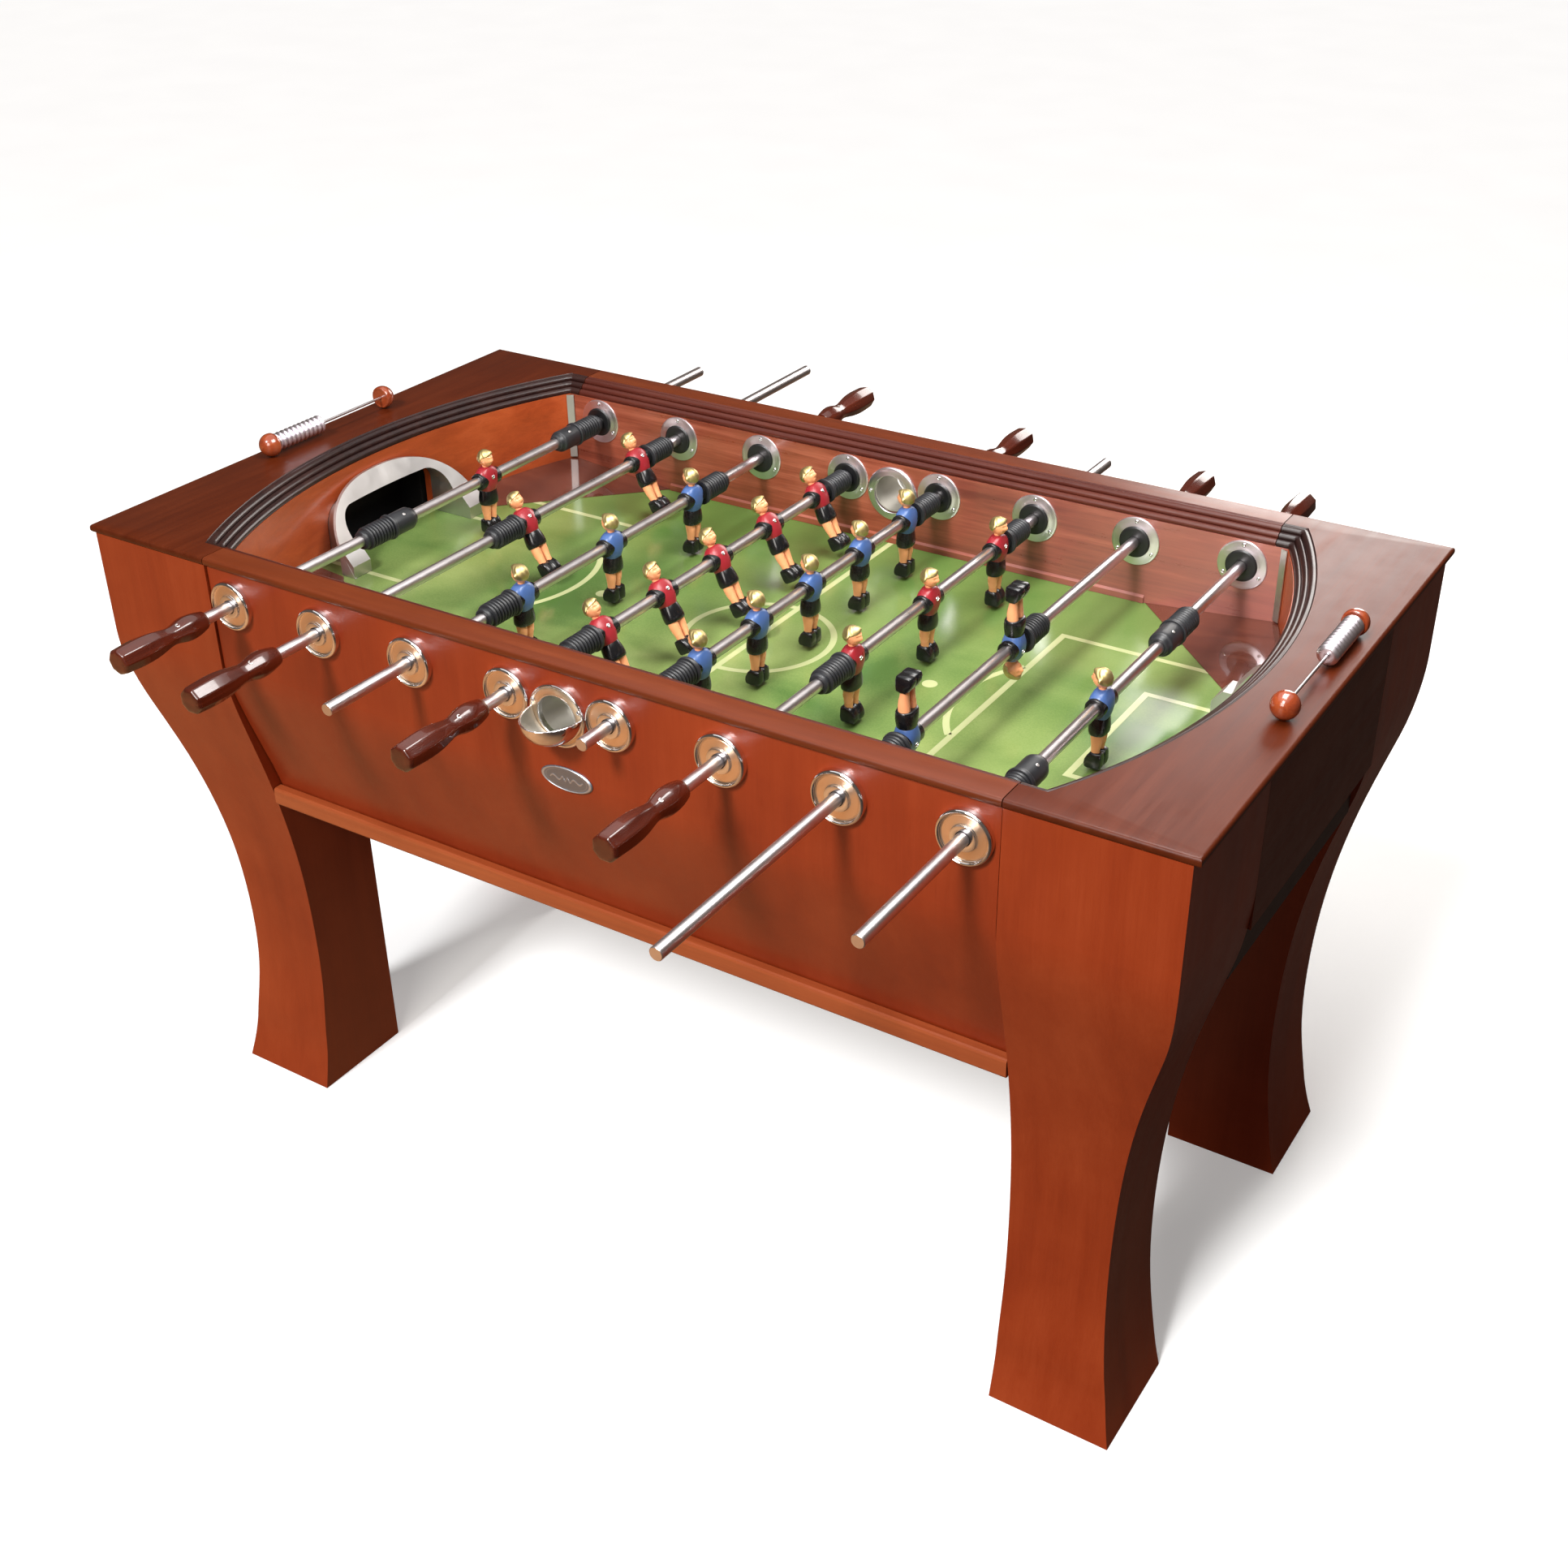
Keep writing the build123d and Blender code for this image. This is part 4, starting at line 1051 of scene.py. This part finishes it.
# ------------------------------------------------------------------ ball entries
ENTRY_PLATE = [(26.0, 415.2), (40.0, 415.2), (40.0, 420.2), (39.8, 421.2), (39.1, 421.9), (38.0, 422.2), (37.0, 422.0),
               (36.2, 421.5), (28.4, 421.5), (27.2, 421.8), (26.4, 421.7), (26.0, 421.0)]
SLEEVE = [(26.0, 354.0), (27.7, 354.0), (27.7, 414.9), (26.0, 414.9)]
ENTRY_RING = [(27.9, 356.7), (40.3, 356.7), (40.3, 355.4), (39.9, 354.2), (39.0, 353.4), (37.6, 352.9), (33.0, 352.4), (29.6, 352.2),
              (28.6, 352.0), (28.0, 352.5)]


def scoop():
    """Quarter bowl in front of the plate; its rolled rim is made by rim()."""
    na, nb = 64, 20
    cy, cz = 422.0, 841.0
    V, F = [], []

    def grid(a, b, c, lift):
        ids = []
        for j in range(nb + 1):
            el = math.pi / 2 * j / nb
            row = []
            for i in range(na + 1):
                az = math.pi * i / na
                row.append(len(V))
                V.append((a * math.cos(az) * math.cos(el), cy + b * math.sin(az) * math.cos(el), cz + lift * (1 - j / nb) - c * math.sin(el)))
            ids.append(row)
        return ids
    A = grid(37.0, 50.0, 36.0, 0.0)
    B = grid(34.6, 47.6, 33.6, 0.0)
    for j in range(nb):
        for i in range(na):
            F.append((A[j][i], A[j][i + 1], A[j + 1][i + 1], A[j + 1][i]))
            F.append((B[j][i + 1], B[j][i], B[j + 1][i], B[j + 1][i + 1]))
    for i in range(na):
        F.append((A[0][i + 1], A[0][i], B[0][i], B[0][i + 1]))
    for j in range(nb):
        F.append((A[j][0], A[j + 1][0], B[j + 1][0], B[j][0]))
        F.append((A[j + 1][na], A[j][na], B[j][na], B[j + 1][na]))
    return V, F, na * nb


def rim(a, b, cy, cz, r, n=64, m=14):
    V, F = [], []
    for i in range(n + 1):
        az = math.pi * i / n
        px, py = a * math.cos(az), b * math.sin(az)
        nx, ny = math.cos(az) / a, math.sin(az) / b
        q = math.hypot(nx, ny)
        nx, ny = nx / q, ny / q
        for k in range(m):
            t = 2 * math.pi * k / m
            V.append((px + nx * r * math.cos(t), cy + py + ny * r * math.cos(t), cz + r * math.sin(t)))
    for i in range(n):
        for k in range(m):
            k2 = (k + 1) % m
            F.append((i * m + k, i * m + k2, (i + 1) * m + k2, (i + 1) * m + k))
    F.append(tuple(range(m)))
    F.append(tuple(n * m + k for k in reversed(range(m))))
    return V, F


ep, ef = lathe_data(ENTRY_PLATE, 80, True)
sp, sfc = lathe_data(SLEEVE, 64, True)
rp, rf = lathe_data(ENTRY_RING, 80, True)
bowl_v, bowl_f, _ = scoop()
for s, nm in ((1, "far"), (-1, "near")):
    pz = (0, 0, 836.0)
    V, F = join([(shift(ep, pz, flip=s < 0), ef)])
    o = obj(f"entry_plate_{nm}", V, F, [M["chrome"], M["chrome_flat"]], True, "cabinet", ("ball_entries",), 38)
    for k in range(len(ef)):
        if k // 80 == 7:
            o.data.polygons[k].material_index = 1
    obj(f"entry_sleeve_{nm}", shift(sp, pz, flip=s < 0), sfc, M["scoop_in"], True, "cabinet", ("ball_entries",), 38)
    obj(f"entry_ring_{nm}", shift(rp, (0, 0, 834.5), flip=s < 0), rf, M["ring"], True, "cabinet", ("ball_entries",), 38)
    o = obj(f"serving_cup_{nm}", shift(bowl_v, flip=s < 0), bowl_f, [M["chrome"], M["scoop_in"]], True, "cabinet",
            ("ball_entries",), 50)
    cnt = 0
    for k in range(2 * 64 * 20):
        if k % 2 == 1:
            o.data.polygons[k].material_index = 1
    rv, rff = rim(35.8, 48.8, 422.0, 840.6, 1.15)
    obj(f"cup_rim_{nm}", shift(rv, flip=s < 0), rff, M["chrome"], True, "cabinet", ("ball_entries",), 60)


# ------------------------------------------------------------------ goal surrounds
def rounded_copy(node, name, mat, width, slot, segs=3, angle=35):
    """The same solid with eased edges."""
    src = frame["nodes"][node]
    me = src.data.copy()
    me.name = name
    me.materials.clear()
    o = bpy.data.objects.new(name, me)
    bpy.context.scene.collection.objects.link(o)
    o.matrix_world = src.matrix_world.copy()
    me.materials.append(mat)
    bm = bmesh.new()
    bm.from_mesh(me)
    bmesh.ops.remove_doubles(bm, verts=bm.verts, dist=1e-6)
    bmesh.ops.dissolve_limit(bm, angle_limit=math.radians(0.5), verts=bm.verts, edges=bm.edges)
    bm.to_mesh(me)
    bm.free()
    me.shade_smooth()
    me.set_sharp_from_angle(angle=math.radians(angle))
    bevel(o, width, segs, angle)
    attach(o, "cabinet")
    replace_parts(o, node)
    return o


cad("goal_frames", M["silver"])

# ------------------------------------------------------------------ badge
bw, bh = 38.0, 16.0
V, F = [], []
nr, na = 30, 128
rows = []
for j in range(nr + 1):
    q = j / nr
    row = []
    for i in range(na):
        a = 2 * math.pi * i / na
        x, z = bw * q * math.cos(a), bh * q * math.sin(a)
        d = (1 - q) * bh
        h = 1.55
        h += 0.85 * math.exp(-((d - 1.3) / 0.62) ** 2)
        h += 0.30 * math.exp(-((d - 3.4) / 0.30) ** 2)
        if d > 4.6:
            wv = math.sin(x * 0.62 + 1.4 * math.sin(x * 0.21))
            h += 0.50 * max(0.0, 1 - abs(z - 2.6 * wv * math.exp(-(x / 26) ** 4)) / 1.7) ** 0.6 * (1 if abs(x) < 24 else 0)
        if q > 0.995:
            h = 0.9
        row.append(len(V))
        V.append((3 + x, -415.3 - min(h, 2.4), 750.5 + z))
    rows.append(row)
for j in range(1, nr):
    for i in range(na):
        i2 = (i + 1) % na
        F.append((rows[j][i], rows[j][i2], rows[j + 1][i2], rows[j + 1][i]))
F.append(tuple(rows[1]))
edge = []
for i in range(na):
    edge.append(len(V))
    v = V[rows[nr][i]]
    V.append((v[0], -415.3, v[2]))
for i in range(na):
    i2 = (i + 1) % na
    F.append((rows[nr][i], rows[nr][i2], edge[i2], edge[i]))
F.append(tuple(reversed(edge)))
used = sorted({i for f in F for i in f})
remap = {u: k for k, u in enumerate(used)}
obj("oval_badge", [V[u] for u in used], [tuple(remap[i] for i in f) for f in F], M["badge"], True, "cabinet",
    ("badge",), 30)

# ------------------------------------------------------------------ scorers
KR, SZ, SX = 16.5, 919.8, 745.0
kp = []
for k in range(33):
    a = math.pi * k / 32 * 0.632
    kp.append((KR * math.sin(a), -KR * math.cos(a)))
kp = [(r, y) for r, y in kp if y < 5.0]
kp += [(15.35, 5.45), (14.9, 5.85), (14.2, 6.0), (13.0, 5.9), (12.4, 5.5), (11.8, 5.55), (7.0, 5.75), (3.2, 5.8), (2.4, 5.5), (2.2, 4.6),
       (2.2, -4.0), (0.0, -4.0)]
kv, kf = lathe_data(kp, 64, False)
ks = []
for x in (-SX, SX):
    ks.append((shift(kv, (x, -118.0, SZ)), kf))
    ks.append((shift(kv, (x, -113.0, SZ), flip=True), kf))
ks = [(shift(kv, (-SX, -118.0, SZ)), kf), (shift(kv, (SX, -118.0, SZ)), kf),
      ([(x - SX, -y + 113.0, z + SZ) for x, y, z in kv], kf), ([(x + SX, -y + 113.0, z + SZ) for x, y, z in kv], kf)]
V, F = join(ks)
obj("score_knobs", V, F, M["knob"], True, "cabinet", ("score_balls",), 30)
bp = [(2.3, 0.8), (3.4, 0.45), (7.8, 0.45), (8.9, 0.75), (10.2, 1.35), (11.5, 2.1), (12.5, 2.9), (12.95, 3.5), (13.1, 4.1),
      (12.95, 4.7), (12.5, 5.3), (11.5, 6.1), (10.2, 6.85), (8.9, 7.45), (7.8, 7.75), (3.4, 7.75), (2.3, 7.4)]
bv, bf = lathe_data(bp, 56, True)
bl, br = [], []
for k in range(11):
    bl.append((shift(bv, (-SX, -118.0 + 6.4 + k * 8.5, SZ)), bf))
    br.append((shift(bv, (SX, 113.0 - 6.4 - k * 8.5 - 8.2, SZ)), bf))
V, F = join(bl)
obj("score_beads_left", V, F, M["ring"], True, "beads_left", ("beads_left",), 45)
V, F = join(br)
obj("score_beads_right", V, F, M["ring"], True, "beads_right", ("beads_right",), 45)
cad("ball", M["ballwhite"])

# ------------------------------------------------------------------ floor, light and camera
def ground(name, z, size, mat):
    bm = bmesh.new()
    bmesh.ops.create_grid(bm, x_segments=40, y_segments=40, size=size)
    me = bpy.data.meshes.new(name)
    bm.to_mesh(me)
    bm.free()
    me.materials.append(mat)
    o = bpy.data.objects.new(name, me)
    bpy.context.scene.collection.objects.link(o)
    o.location.z = z
    return o


fl = Mat("studio_floor_white")
fn = fl.noise(fl.mapped((3, 3, 3)), 1.0, 3.0, 0.5)
fl.set(color=fl.ramp(fn, [(0.3, (0.86, 0.86, 0.86)), (0.7, (0.89, 0.89, 0.89))]), rough=0.9, spec=0.1)
fl.p.inputs["Emission Color"].default_value = (1.0, 1.0, 1.0, 1.0)
fl.p.inputs["Emission Strength"].default_value = 0.30
floor = ground("studio_floor", -0.0008, 14.0, fl.m)
floor.visible_diffuse = False
floor.visible_glossy = False
floor.visible_shadow = False
# the room under and around the white sweep, met only by reflections
rm = Mat("room_floor_tan")
rn = rm.noise(rm.mapped((2, 2, 2)), 1.0, 3.0, 0.5)
rs = rm.nt.nodes.new("ShaderNodeSeparateXYZ")
rm.link(rm.coord(), rs.inputs[0])
near = rm.math("MULTIPLY", rm.rng(rs.outputs[0], -0.3, 0.9, 1.0, 0.0), rm.rng(rs.outputs[1], -0.5, 0.5, 1.0, 0.15))
tan = rm.ramp(rn, [(0.3, (0.46, 0.235, 0.105)), (0.7, (0.54, 0.285, 0.130))])
rm.set(color=rm.mix(near, (0.035, 0.022, 0.016), tan), rough=0.8, spec=0.2)
room = ground("room_floor", -0.012, 9.0, rm.m)
room.visible_camera = False
room.visible_diffuse = False
# a white ceiling, met only by reflections
cm = Mat("room_ceiling")
cn_ = cm.noise(cm.mapped((1, 1, 1)), 1.0, 2.0, 0.5)
cm.set(color=cm.ramp(cn_, [(0.3, (0.5, 0.5, 0.5)), (0.7, (0.6, 0.6, 0.6))]), rough=0.9)
cm.p.inputs["Emission Color"].default_value = (1.0, 0.98, 0.97, 1.0)
cm.p.inputs["Emission Strength"].default_value = 0.9
ceiling = ground("room_ceiling", 3.3, 2.3, cm.m)
ceiling.visible_camera = False
ceiling.visible_diffuse = False
ceiling.visible_shadow = False

scene = bpy.context.scene
world = bpy.data.worlds.new("studio")
scene.world = world
world.use_nodes = True
bg = world.node_tree.nodes["Background"]
bg.inputs[0].default_value = (1.0, 0.80, 0.66, 1.0)
bg.inputs[1].default_value = 0.11


def area(name, loc, target, size, power, color=(1, 1, 1), size_y=None):
    l = bpy.data.lights.new(name, "AREA")
    l.shape = "RECTANGLE"
    l.size = size
    l.size_y = size_y or size
    l.energy = power
    l.color = color
    o = bpy.data.objects.new(name, l)
    scene.collection.objects.link(o)
    o.location = loc
    d = Vector(target) - Vector(loc)
    o.rotation_euler = d.to_track_quat("-Z", "Y").to_euler()
    return o


sun = bpy.data.lights.new("key", "SUN")
sun.energy = 3.0
sun.angle = math.radians(11)
so_ = bpy.data.objects.new("key", sun)
scene.collection.objects.link(so_)
so_.rotation_euler = (-Vector((-0.06, -0.78, 0.80))).to_track_quat("-Z", "Y").to_euler()
area("overhead", (0.50, -0.02, 2.25), (-0.25, 0.0, 0.8), 1.1, 38.0, (1.0, 0.99, 0.97), 0.9)
area("front", (0.35, -2.5, 2.1), (0.1, 0.0, 0.6), 1.2, 38.0, (1.0, 0.95, 0.90))
area("rear", (0.1, 3.2, 1.9), (0.0, 0.3, 0.55), 1.5, 46.0, (1.0, 0.96, 0.92))

cam = bpy.data.cameras.new("main")
cam.lens = 44.03
cam.sensor_width = 36.0
cam.clip_end = 60.0
co = bpy.data.objects.new("main", cam)
scene.collection.objects.link(co)
co.location = (1.263, -1.899, 1.896)
co.rotation_euler = (math.radians(59.07), math.radians(0.70), math.radians(32.43))
scene.camera = co
scene.view_settings.view_transform = "Standard"
scene.view_settings.look = "None"
